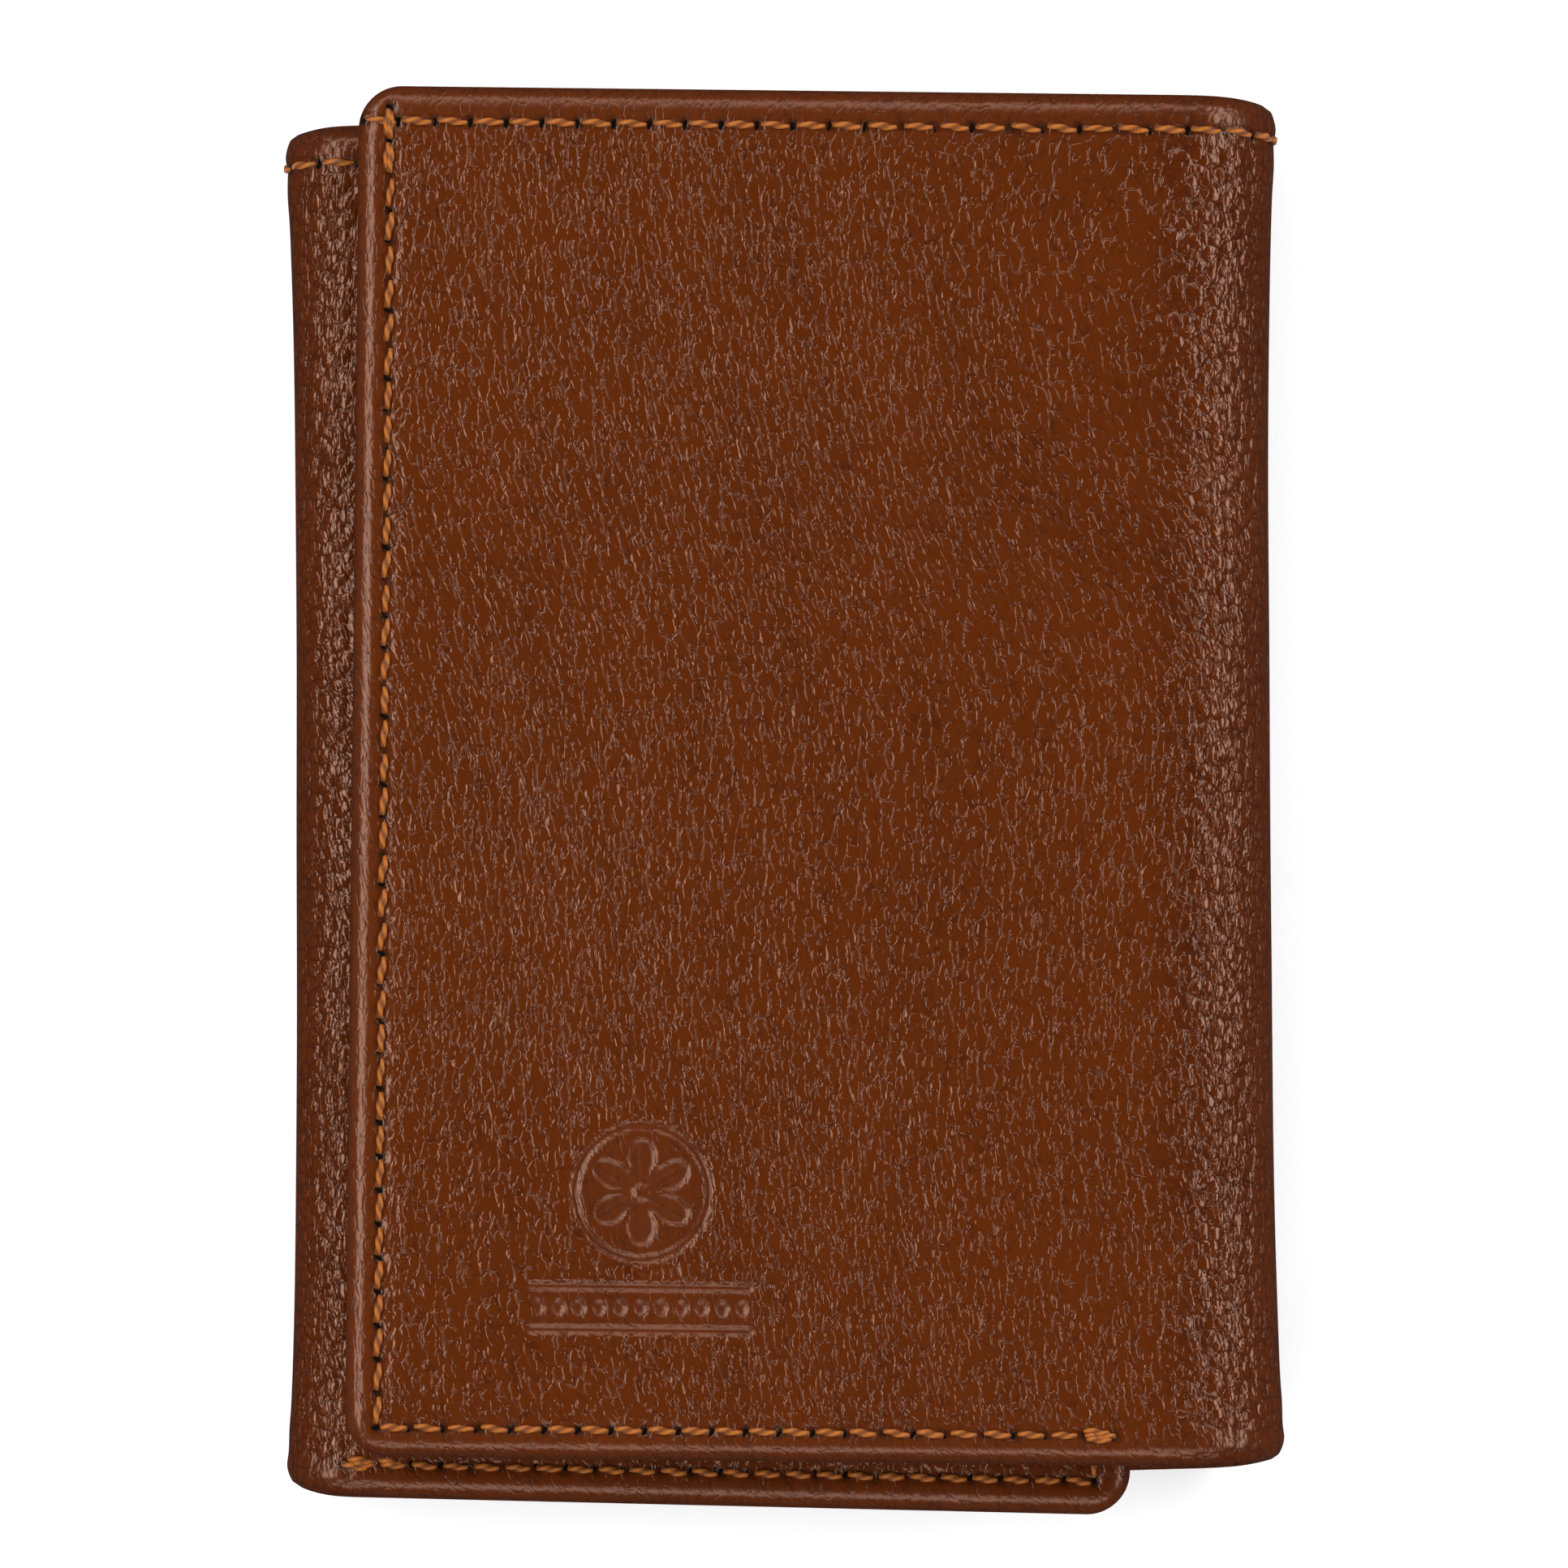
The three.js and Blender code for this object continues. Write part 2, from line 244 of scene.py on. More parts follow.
def grid_faces(index, flip=False):
    """Four-sided faces between the neighbours of a grid of vertex numbers."""
    a, b = index[:-1, :-1], index[1:, :-1]
    c, d = index[1:, 1:], index[:-1, 1:]
    quads = np.stack([a, d, c, b] if flip else [a, b, c, d], axis=-1)
    return quads.reshape(-1, 4)


def edge_round(away, radius):
    """Height of a quarter circle, from 0 at the edge to 1 at its radius and further in."""
    return np.sqrt(np.maximum(1 - (1 - np.clip(away / radius, 0, 1)) ** 2, 0))


def point_out(thing):
    """Turns every face of a closed mesh outwards."""
    work = bmesh.new()
    work.from_mesh(thing.data)
    bmesh.ops.recalc_face_normals(work, faces=work.faces)
    work.to_mesh(thing.data)
    work.free()
    thing.data.update()


class Sheet:
    """A leather or cloth layer as a closed shell between two faces.

    The grid runs from the near edge to the far edge and from bottom to top. At a corner with a radius the
    square of that size is pressed to a quarter disc: x is shortened by the root of 1 - y*y/2 and y by the
    root of 1 - x*x/2. At a free edge the two faces meet in a half round, whose width is roll on the
    outer face and rim on the inner, and whose seam lies the share tuck above the inner face. At a cut edge
    they stay apart and a narrow face joins them, because the layer goes on in the next piece."""

    def __init__(self, near, far, low, high, free, corner=0.0, rim=0.3 * MM, roll=None, tuck=0.5,
                 step=1.0 * MM, fine_s=(), fine_v=()):
        self.rim = rim
        self.roll = roll or rim
        self.tuck = tuck
        turned = (self.roll, self.roll / 4)
        middle = (low + high) / 2
        ends = float(near(middle)), float(far(middle))
        left, right = min(ends), max(ends)
        edges_s = [(left, *turned)] * free[0] + [(right, *turned)] * free[1]
        edges_v = [(low, *turned)] * free[2] + [(high, *turned)] * free[3]
        lines_s = spaced(left, right, step, [*edges_s, *fine_s])
        lines_v = spaced(low, high, step, [*edges_v, *fine_v])
        share, v = np.meshgrid((lines_s - left) / (right - left), lines_v, indexing="ij")
        first, last = (near, far) if ends[0] < ends[1] else (far, near)
        start, end = first(v), last(v)
        s = start + share * (end - start)
        gaps = [s - start, end - s, v - low, high - v]
        self.away = np.minimum.reduce([np.where(on, gap, FAR) for on, gap in zip(free, gaps)])
        if corner:
            for side, way, line in ((0, -1, start), (1, 1, end)):
                for top, turn, limit in ((2, -1, low), (3, 1, high)):
                    if free[side] and free[top]:
                        x = np.clip(1 - gaps[side] / corner, 0, None)
                        y = np.clip(1 - gaps[top] / corner, 0, None)
                        inside = (x > 0) & (y > 0)
                        s = np.where(inside, line - way * corner * (1 - x * np.sqrt(1 - y * y / 2)), s)
                        v = np.where(inside, limit - turn * corner * (1 - y * np.sqrt(1 - x * x / 2)), v)
                        edge = corner * (1 - np.sqrt(np.clip(x * x + y * y - x * x * y * y, 0, 1)))
                        self.away = np.where(inside, edge, self.away)
        self.s, self.v = s, v

    def make(self, name, depths, material, outer=None, inner=None, marks=None):
        """Builds the shell between two depths. outer and inner give how far each face stands out of its
        depth at (s, v), and marks gives named attributes of the outer face."""
        low, high = depths
        seam = high - (high - low) * self.tuck
        raise_outer = outer(self.s, self.v) if outer else 0.0
        raise_inner = inner(self.s, self.v) if inner else 0.0
        roll = edge_round(self.away, self.roll) * (seam - low + raise_outer)
        top = wrap(self.s, self.v, seam - roll)
        under = wrap(self.s, self.v, seam + edge_round(self.away, self.rim) * (high - seam + raise_inner))
        count = self.s.size
        index = np.arange(count).reshape(self.s.shape)
        shut = self.away <= SHUT
        lower = np.where(shut, index, index + count)
        faces = [grid_faces(index, flip=True), grid_faces(lower)]
        walls = [
            (index[0], lower[0], True), (index[-1], lower[-1], False),
            (index[:, 0], lower[:, 0], False), (index[:, -1], lower[:, -1], True),
        ]
        for upper, below, flip in walls:
            strip = grid_faces(np.stack([upper, below], axis=1), flip=flip)
            faces.append(strip[(strip[:, 0] != strip[:, 1]) | (strip[:, 2] != strip[:, 3])])
        points = np.concatenate([top.reshape(-1, 3), under.reshape(-1, 3)])
        return self.finish(name, points, np.concatenate(faces), material, marks)

    def finish(self, name, points, faces, material, marks):
        """Drops unused vertices and turns a face with a doubled corner into a triangle."""
        used, faces = np.unique(faces, return_inverse=True)
        faces = faces.reshape(-1, 4)
        doubled = [(faces[:, i] == faces[:, (i + 1) % 4]) for i in range(4)]
        whole = ~np.logical_or.reduce(doubled)
        polygons = faces[whole].tolist() + [list(dict.fromkeys(face)) for face in faces[~whole].tolist()]
        polygons = [face for face in polygons if len(face) > 2]
        thing = new_object(name, points[used], polygons, material)
        for title, rule in (marks or {}).items():
            values = rule(self.s, self.v).ravel()
            give_attribute(thing, title, np.concatenate([values, values * 0])[used])
        return thing


# ---- Sewing rows ----
def row_holes(path, pitch):
    """Needle holes along straight runs, evenly spaced at about the pitch, with one at each corner."""
    holes = [np.array(path[:1], float)]
    for start, end in zip(path[:-1], path[1:]):
        start, end = np.array(start), np.array(end)
        count = max(1, round(np.linalg.norm(end - start) / pitch))
        share = np.arange(1, count + 1)[:, None] / count
        holes.append(start + share * (end - start))
    return np.concatenate(holes)


def path_distance(path, s, v):
    """Distance of strip points from a row of straight runs."""
    best = np.full(np.shape(s), FAR)
    for start, end in zip(path[:-1], path[1:]):
        run = np.array(end) - np.array(start)
        x, y = s - start[0], v - start[1]
        share = np.clip((x * run[0] + y * run[1]) / (run @ run), 0, 1)
        best = np.minimum(best, np.hypot(x - share * run[0], y - share * run[1]))
    return best


def hole_distance(holes, s, v):
    """Distance of strip points from the nearest needle hole."""
    best = np.full(np.shape(s), FAR)
    for hole in holes:
        np.minimum(best, np.hypot(s - hole[0], v - hole[1]), out=best)
    return best


FLAP_S = extent("front_flap_cover")[0][1] + 1.1 * MM     # the leather runs on a little past its frame
INNER_S = extent("inner_flap_cover")[0][0]
LEAN = 0.1 * MM           # how much further out the front flap's free edge is at its top than at its bottom


def flap_end(v):
    """The front flap's free edge, as s for a given v."""
    return FLAP_S + LEAN * (np.asarray(v, float) + TOP) / HEIGHT


FOLD_START = {name: float(at_fold(fold, 0)(0.0)) for name, fold in FOLDS.items()}
FOLD_END = {name: float(at_fold(fold, fold.bend)(0.0)) for name, fold in FOLDS.items()}
FOLD_CREST = {name: float(at_fold(fold, fold.bend / 2)(0.0)) for name, fold in FOLDS.items()}
TOP_ROW = TOP - 2.2 * MM
BOTTOM_ROW = -TOP + 2.4 * MM
INNER_BOTTOM_ROW = -TOP + 2.7 * MM
EDGE_ROW_BEGINS = TOP - 1.2 * MM
FLAP_SEAM = 2.6 * MM      # from the front flap's free edge to the row along it
INNER_SEAM = 2.9 * MM     # the same on the inner flap
TOP_PITCH = 2.9 * MM
EDGE_PITCH = 2.7 * MM
INNER_PITCH = 2.5 * MM

# Every row on the outside of the cover leather, as straight runs of (s, v), and its stitch length.
ROWS = {
    "top": ([(INNER_S + 1.3 * MM, TOP_ROW), (float(flap_end(TOP)) - 0.35 * MM, TOP_ROW)], TOP_PITCH),
    "front_edge": ([
        (float(flap_end(TOP)) - FLAP_SEAM, EDGE_ROW_BEGINS),
        (FLAP_S - FLAP_SEAM, BOTTOM_ROW),
        (FOLD_END["right"] + 4.3 * MM, BOTTOM_ROW),
    ], EDGE_PITCH),
    "inner_edge": ([
        (INNER_S + INNER_SEAM, EDGE_ROW_BEGINS),
        (INNER_S + INNER_SEAM, INNER_BOTTOM_ROW),
        (FOLD_END["left"] - 0.1 * MM, INNER_BOTTOM_ROW),
    ], INNER_PITCH),
    "spine_bottom": ([
        (FOLD_START["left"] + 3 * MM, BOTTOM_ROW),
        (FOLD_START["right"] - 3 * MM, BOTTOM_ROW),
    ], EDGE_PITCH),
}
HOLES = {name: row_holes(path, pitch) for name, (path, pitch) in ROWS.items()}
ALL_HOLES = np.concatenate(list(HOLES.values()))

# The blind-stamped ornament: a ring round a six-petalled flower over a beaded bar, low on the front flap.
STAMP_S = FOLD_END["right"] + 42.7 * MM
STAMP_V = -33.4 * MM
STAMP_RING = 5.4 * MM
STAMP_LINE = 0.6 * MM
STAMP_DEPTH = 0.26 * MM
PETAL = 4.3 * MM
PETAL_GAP = 0.2 * MM      # half the ridge left standing between two petals
HEART = 0.6 * MM          # radius of the knob left standing in the flower's middle
BAR_HALF = 9.1 * MM
BARS = (-7.6 * MM, -11.1 * MM)
BEAD_LINE = sum(BARS) / 2
BEAD_GAP = 1.65 * MM
BEAD_HALF = 0.62 * MM

# Heights of the cover's relief.
WELT = 0.12 * MM          # the puffed welt along a sewn edge
RISE = 0.06 * MM          # the softer rise past the row
GROOVE = 0.08 * MM        # the groove under a row's thread
PIT = 0.16 * MM           # the pit that a needle hole pulls
DIMPLE = 0.05 * MM        # the wider dimple round it
RIPPLE = 0.04 * MM        # the slow unevenness of worn leather


def smooth_step(value, low, high):
    """0 below low, 1 above high, and a smooth cubic between."""
    share = np.clip((value - low) / (high - low), 0, 1)
    return share * share * (3 - 2 * share)


def bell(away, width):
    """1 where away is 0, and less on both sides by the exponential of minus (away / width) squared."""
    return np.exp(-((away / width) ** 2))


def stamp(s, v):
    """Depth of the ornament: the part of the flap inside a ring, six petals, two bars and a row of beads.

    A petal's radius follows the root of the cosine of three turns, a bead is a lozenge."""
    x, y = s - STAMP_S, v - STAMP_V
    radius, turn = np.hypot(x, y), np.arctan2(y, x) + math.pi / 6
    ring = STAMP_LINE / 2 - np.abs(radius - STAMP_RING)
    petal = PETAL * np.sqrt(np.abs(np.cos(3 * turn))) - radius
    ridge = np.abs(np.sin(3 * turn)) * radius - PETAL_GAP
    flower = np.minimum(np.minimum(petal, ridge), radius - HEART)
    inside = BAR_HALF - np.abs(x)
    bars = [np.minimum(STAMP_LINE / 2 - np.abs(y - level), inside) for level in BARS]
    bead = np.abs((x / BEAD_GAP + 0.5) % 1 - 0.5) * BEAD_GAP
    beads = np.minimum(BEAD_HALF - bead - 0.8 * np.abs(y - BEAD_LINE), inside - 0.5 * MM)
    pressed = np.maximum.reduce([ring, flower, *bars, beads])
    return STAMP_DEPTH * smooth_step(pressed, -0.12 * MM, 0.16 * MM)


def stand(s, v):
    """0 on the spine panel, which lies on the table, and 1 from 0.6 radians round each bend."""
    flat = laid_flat(s, v)
    turns = [(flat - fold.line) @ fold.outward / fold.radius for fold in FOLDS.values()]
    return smooth_step(np.maximum(*turns), 0, 0.6)


def from_end(s, v):
    """Distance from the free end of a flap, and far on the rest of the strip."""
    on_inner = np.where(s < FOLD_END["left"], s - INNER_S, FAR)
    return np.where(s > FOLD_END["right"], flap_end(v) - s, on_inner)


def cover_relief(s, v):
    """How far the cover's outer face stands out.

    A puffed welt runs between a sewn edge and its row, the thread sits in a groove, each needle hole pulls
    a pit, past the row the leather rises softly again, and products of slow sines make it uneven."""
    edge = np.minimum(np.minimum(TOP - v, v + TOP), from_end(s, v))
    height = WELT * bell(edge - 1.6 * MM, 0.9 * MM)
    height += RISE * bell(edge - 4.6 * MM, 1.4 * MM)
    for path, _ in ROWS.values():
        height -= GROOVE * bell(path_distance(path, s, v), 0.8 * MM)
    near = hole_distance(ALL_HOLES, s, v)
    height -= PIT * bell(near, 0.55 * MM)
    height -= DIMPLE * bell(near, 1.2 * MM)
    standing = stand(s, v)
    height = np.maximum(height, 0) * standing + np.minimum(height, 0)
    ripple = np.sin(s / (9.1 * MM) + 1.7) * np.sin(v / (12.7 * MM) + 0.6)
    ripple += 0.6 * np.sin((s + 0.7 * v) / (6.3 * MM)) * np.sin((v - 0.4 * s) / (8.9 * MM) + 2.0)
    height += RIPPLE * (ripple - 1.6 * (1 - standing))
    return height - stamp(s, v)


def hole_shading_mask(s, v):
    """1 in a needle hole, fading to 0 around it: where the cover's colour is painted near black as shade."""
    return np.exp(-((hole_distance(ALL_HOLES, s, v) / (0.5 * MM)) ** 4))


def bent(s, v):
    """1 on a bend, where the grain bunches into round pebbles, fading to 0 beyond its ends."""
    flat = laid_flat(s, v)
    value = 0.0 * s
    for fold in FOLDS.values():
        beyond = (flat - fold.line) @ fold.outward
        begun = smooth_step(beyond, -1 * MM, 2 * MM)
        ended = smooth_step(beyond, fold.bend - 2 * MM, fold.bend + 4 * MM)
        value += begun * (1 - ended)
    return value


def calm(s, v):
    """How flat the grain is pressed: partly along the edges and under the stamp, and wholly in its lines."""
    from_edge = np.minimum(TOP - np.abs(v), np.minimum(flap_end(v) - s, s - INNER_S))
    value = 0.65 * (1 - smooth_step(from_edge, 1.4 * MM, 4.0 * MM))
    x, y = s - STAMP_S, v - STAMP_V
    disc = STAMP_RING - np.hypot(x, y)
    band = np.minimum(BAR_HALF - np.abs(x), BARS[0] - BARS[1] - 1.6 * MM - np.abs(y - BEAD_LINE))
    value = np.maximum(value, 0.6 * smooth_step(np.maximum(disc, band), -0.6 * MM, 0.6 * MM))
    return np.maximum(value, stamp(s, v) / STAMP_DEPTH)


# ---- Materials ----
def srgb(code):
    """Linear colour of a six-digit sRGB code."""
    parts = [int(code[i:i + 2], 16) / 255 for i in (1, 3, 5)]
    return tuple(c / 12.92 if c <= 0.04045 else ((c + 0.055) / 1.055) ** 2.4 for c in parts)


def connect(tree, node, links):
    """Links sockets to a node's inputs. Where a node stands for a socket, its first output is meant."""
    for key, source in links.items():
        socket = source.outputs[0] if isinstance(source, bpy.types.Node) else source
        tree.links.new(socket, node.inputs[key])


def add_node(tree, kind, settings=None, links=None):
    """Adds a node. Settings name its inputs or its own properties; numbers are inputs."""
    node = tree.nodes.new(kind)
    for key, value in (settings or {}).items():
        if isinstance(key, int) or key in node.inputs:
            node.inputs[key].default_value = value
        else:
            setattr(node, key, value)
    connect(tree, node, links or {})
    return node


def new_material(name, settings):
    """A Principled material and its tree, with plain values set on the shader itself."""
    material = bpy.data.materials.new(name)
    material.use_nodes = True
    tree = material.node_tree
    shader = next(node for node in tree.nodes if node.type == "BSDF_PRINCIPLED")
    for key, value in settings.items():
        shader.inputs[key].default_value = value
    return material, tree, shader


def colour_ramp(tree, source, stops):
    """A ramp from stops of (place, colour)."""
    node = add_node(tree, "ShaderNodeValToRGB", {}, {0: source})
    elements = node.color_ramp.elements
    elements[0].position, elements[1].position = stops[0][0], stops[-1][0]
    elements[0].color, elements[1].color = (*stops[0][1], 1), (*stops[-1][1], 1)
    for place, colour in stops[1:-1]:
        elements.new(place).color = (*colour, 1)
    return node


def leather(name, crease_shade_colour, skin, worn, grain, depth, gloss, shine_level):
    """Drum-milled, pigment-finished cowhide.

    Milling shrinks the skin into rounded pebbles of about the grain size, parted by creases that break off and
    start again, and the creases carry painted shade. On a bend they bunch into domes, each as high as the square
    of the way from its middle. To the eye it is a soft broken shine on a deep brown, warm because the finish is
    tinted."""
    material, tree, shader = new_material(name, {
        "IOR": 1.45, "Specular IOR Level": shine_level, "Specular Tint": (*srgb("#ffd9c6"), 1),
    })
    coord = add_node(tree, "ShaderNodeTexCoord").outputs["Object"]
    bend = add_node(tree, "ShaderNodeAttribute", {"attribute_name": "bent"}).outputs["Fac"]
    pressed = add_node(tree, "ShaderNodeAttribute", {"attribute_name": "calm"}).outputs["Fac"]
    hole = add_node(tree, "ShaderNodeAttribute", {"attribute_name": "hole_shading_mask"}).outputs["Fac"]

    # The pebbles are twice as long as they are wide. Their rows lean by 9 degrees and sway by up to 16 mm in
    # waves of about 38 mm, and a finer drift makes every pebble another size.
    sway = add_node(tree, "ShaderNodeTexNoise", {"Scale": 26.0, "Detail": 0.0}, {"Vector": coord})
    swayed = add_node(tree, "ShaderNodeVectorMath", {"operation": "MULTIPLY_ADD", 1: (16 * MM, 0, 0)},
                      {0: sway.outputs["Color"], 2: coord})
    turned = add_node(tree, "ShaderNodeMapping", {"Rotation": (0, 0, math.radians(-9))}, {"Vector": swayed})
    cell = add_node(tree, "ShaderNodeMapping", {"Scale": (1 / grain, 0.5 / grain, 1 / grain)},
                    {"Vector": turned})
    drift = add_node(tree, "ShaderNodeTexNoise", {"Scale": 0.9, "Detail": 1.0}, {"Vector": cell})
    shift = add_node(tree, "ShaderNodeVectorMath", {"operation": "MULTIPLY_ADD", 1: (1.2, 1.2, 1.2)},
                     {0: drift.outputs["Color"], 2: cell})

    # A crease runs between two pebbles, 0.16 of a pebble to each side, and the drift makes it deep or faint.
    plate = add_node(tree, "ShaderNodeTexVoronoi", {"feature": "DISTANCE_TO_EDGE", "Scale": 1.0},
                     {"Vector": shift})
    line = add_node(tree, "ShaderNodeMapRange",
                    {"interpolation_type": "SMOOTHERSTEP", 1: 0.0, 2: 0.16, 3: 1.0, 4: 0.0}, {0: plate})
    deep = add_node(tree, "ShaderNodeMapRange", {1: 0.38, 2: 0.6, 3: 0.04, 4: 0.46}, {0: drift})
    crease = add_node(tree, "ShaderNodeMath", {"operation": "MULTIPLY"}, {0: line, 1: deep})

    # Lowness of a flat panel: the crease, the pebble's own round crown, and less where the skin swells.
    swell = add_node(tree, "ShaderNodeTexNoise", {"Scale": 1.5, "Detail": 1.0}, {"Vector": shift})
    pebble = add_node(tree, "ShaderNodeTexVoronoi", {"feature": "F1", "Scale": 1.0}, {"Vector": shift})
    crown = add_node(tree, "ShaderNodeMath", {"operation": "POWER", 1: 2.0}, {0: pebble})
    crowned = add_node(tree, "ShaderNodeMath", {"operation": "MULTIPLY_ADD", 1: 1.15}, {0: crown, 2: crease})
    flat = add_node(tree, "ShaderNodeMath", {"operation": "MULTIPLY_ADD", 1: -1.15}, {0: swell, 2: crowned})

    # On a bend the pebbles are round, larger, and parted by clefts.
    round_cell = add_node(tree, "ShaderNodeMapping", {"Scale": (0.58 / grain,) * 3}, {"Vector": coord})
    bunched = add_node(tree, "ShaderNodeTexVoronoi", {"feature": "F1", "Scale": 1.0, "Randomness": 0.85},
                       {"Vector": round_cell})
    dome = add_node(tree, "ShaderNodeMath", {"operation": "POWER", 1: 2.0}, {0: bunched})
    domed = add_node(tree, "ShaderNodeMath", {"operation": "MULTIPLY_ADD", 1: 4.2}, {0: dome, 2: flat})
    parted = add_node(tree, "ShaderNodeTexVoronoi",
                      {"feature": "DISTANCE_TO_EDGE", "Scale": 1.0, "Randomness": 0.85},
                      {"Vector": round_cell})
    gap = add_node(tree, "ShaderNodeMapRange",
                   {"interpolation_type": "SMOOTHSTEP", 1: 0.0, 2: 0.13, 3: 0.45, 4: 0.0}, {0: parted})
    low = add_node(tree, "ShaderNodeMix", {"data_type": "FLOAT"}, {0: bend, 2: flat, 3: domed})
    # cleft marks the creases, and the clefts on a bend: it places their painted shade and their duller finish.
    cleft = add_node(tree, "ShaderNodeMix", {"data_type": "FLOAT"}, {0: bend, 2: crease, 3: gap})

    # Where the grain is pressed, less of its height is left.
    left = add_node(tree, "ShaderNodeMath", {"operation": "MULTIPLY_ADD", 1: -1.0, 2: 1.0}, {0: pressed})
    height = add_node(tree, "ShaderNodeMath", {"operation": "MULTIPLY"}, {0: low, 1: left})
    bump = add_node(tree, "ShaderNodeBump", {"Strength": 1.0, "Distance": depth, "invert": True},
                    {"Height": height})

    # The colour wanders in patches. It is painted darker in the creases and clefts as painted shade, a little
    # darker on the bends, and near black in a needle hole as painted shade.
    patch = add_node(tree, "ShaderNodeTexNoise", {"Scale": 0.09, "Detail": 3.0}, {"Vector": cell})
    even = add_node(tree, "ShaderNodeMath", {"operation": "MULTIPLY_ADD", 1: 0.35, 2: 0.33}, {0: patch})
    tone = add_node(tree, "ShaderNodeMath", {"operation": "MULTIPLY_ADD", 1: -0.55}, {0: cleft, 2: even})
    tone_and_shade = add_node(tree, "ShaderNodeMath", {"operation": "MULTIPLY_ADD", 1: -0.1}, {0: bend, 2: tone})
    ramp = colour_ramp(tree, tone_and_shade, [(0.0, crease_shade_colour), (0.5, skin), (1.0, worn)])
    # Painted shade: the colour is mixed to near black in a needle hole.
    dark = add_node(tree, "ShaderNodeMix", {"data_type": "RGBA", 7: (*srgb("#150a06"), 1)},
                    {0: hole, 6: ramp})

    # The finish is thinner and duller in the creases, and where it is pressed.
    shine = add_node(tree, "ShaderNodeMapRange", {1: 0.0, 2: 1.0, 3: gloss, 4: gloss + 0.1}, {0: cleft})
    matt = add_node(tree, "ShaderNodeMath", {"operation": "MULTIPLY_ADD", 1: 0.14}, {0: pressed, 2: shine})
    connect(tree, shader, {"Base Color": dark.outputs[2], "Normal": bump, "Roughness": matt})
    return material


def woven_lining(name, dark, light, spacing):
    """Plain-woven nylon lining: two sets of threads pass over and under each other, which the eye sees as a
    dull fine check. The threads are drawn a little coarser than the real 0.2 mm so that they show."""
    material, tree, shader = new_material(name, {
        "Roughness": 0.85, "Sheen Weight": 0.25, "Specular IOR Level": 0.3,
    })
    coord = add_node(tree, "ShaderNodeTexCoord").outputs["Object"]
    scale = add_node(tree, "ShaderNodeMapping", {"Scale": (1 / spacing,) * 3}, {"Vector": coord})
    parts = add_node(tree, "ShaderNodeSeparateXYZ", {}, {0: scale})
    waves = []
    for axis in (0, 1):
        phase = add_node(tree, "ShaderNodeMath", {"operation": "MULTIPLY", 1: math.pi},
                         {0: parts.outputs[axis]})
        waves.append(add_node(tree, "ShaderNodeMath", {"operation": "SINE"}, {0: phase}))
    check = add_node(tree, "ShaderNodeMath", {"operation": "MULTIPLY"}, {0: waves[0], 1: waves[1]})
    over = add_node(tree, "ShaderNodeMapRange", {1: -1.0, 2: 1.0}, {0: check})
    ramp = colour_ramp(tree, over, [(0.0, dark), (1.0, light)])
    bump = add_node(tree, "ShaderNodeBump", {"Strength": 0.6, "Distance": 0.05 * MM}, {"Height": over})
    connect(tree, shader, {"Base Color": ramp, "Normal": bump})
    return material


def waxed_thread(name, shade, light):
    """Waxed two-ply polyester thread, whose filaments are 0.2 mm wide here so that they show. To the eye it
    is silky and golden brown, and it is painted darker where the plies meet and at its tips, as painted shade."""
    material, tree, shader = new_material(name, {
        "Roughness": 0.45, "Sheen Weight": 0.1, "Specular IOR Level": 0.35,
    })
    coord = add_node(tree, "ShaderNodeTexCoord").outputs["Object"]
    fibre = add_node(tree, "ShaderNodeTexNoise", {"Scale": 5200.0, "Detail": 3.0, "Distortion": 0.6},
                     {"Vector": coord})
    # The ply attribute carries painted shade: it is low between the plies and at the tips.
    ply = add_node(tree, "ShaderNodeAttribute", {"attribute_name": "ply"}).outputs["Fac"]
    tone = add_node(tree, "ShaderNodeMath", {"operation": "MULTIPLY_ADD", 1: 0.35}, {0: fibre, 2: ply})
    ramp = colour_ramp(tree, tone, [(0.12, shade), (1.0, light)])
    bump = add_node(tree, "ShaderNodeBump", {"Strength": 0.5, "Distance": 0.06 * MM}, {"Height": fibre})
    connect(tree, shader, {"Base Color": ramp, "Normal": bump})
    return material


def clear_film(name):
    """Clear soft PVC film, calendered: it mirrors the room faintly, with waves of about 11 mm in it."""
    material, tree, shader = new_material(name, {
        "Base Color": (*srgb("#eef0ec"), 1), "Roughness": 0.08, "IOR": 1.53, "Transmission Weight": 1.0,
    })
    coord = add_node(tree, "ShaderNodeTexCoord").outputs["Object"]
    wave = add_node(tree, "ShaderNodeTexNoise", {"Scale": 90.0, "Detail": 2.0}, {"Vector": coord})
    bump = add_node(tree, "ShaderNodeBump", {"Strength": 0.25, "Distance": 0.4 * MM}, {"Height": wave})
    connect(tree, shader, {"Normal": bump})
    return material


def shade_in_holes(name):
    """Painted shade deep in a needle hole: a near-black, dull colour, which the eye sees as a dark dot without
    shine.
    """
    return new_material(name, {
        "Base Color": (*srgb("#0b0503"), 1), "Roughness": 1.0, "Specular IOR Level": 0.1,
    })[0]


def lit_acrylic(name, glow):
    """Opal acrylic lit from below: a pale, even table on which shadows are faint."""
    return new_material(name, {
        "Base Color": (*srgb("#dce3ec"), 1), "Roughness": 0.9, "Emission Color": (1, 1, 1, 1),
        "Emission Strength": glow,
    })[0]


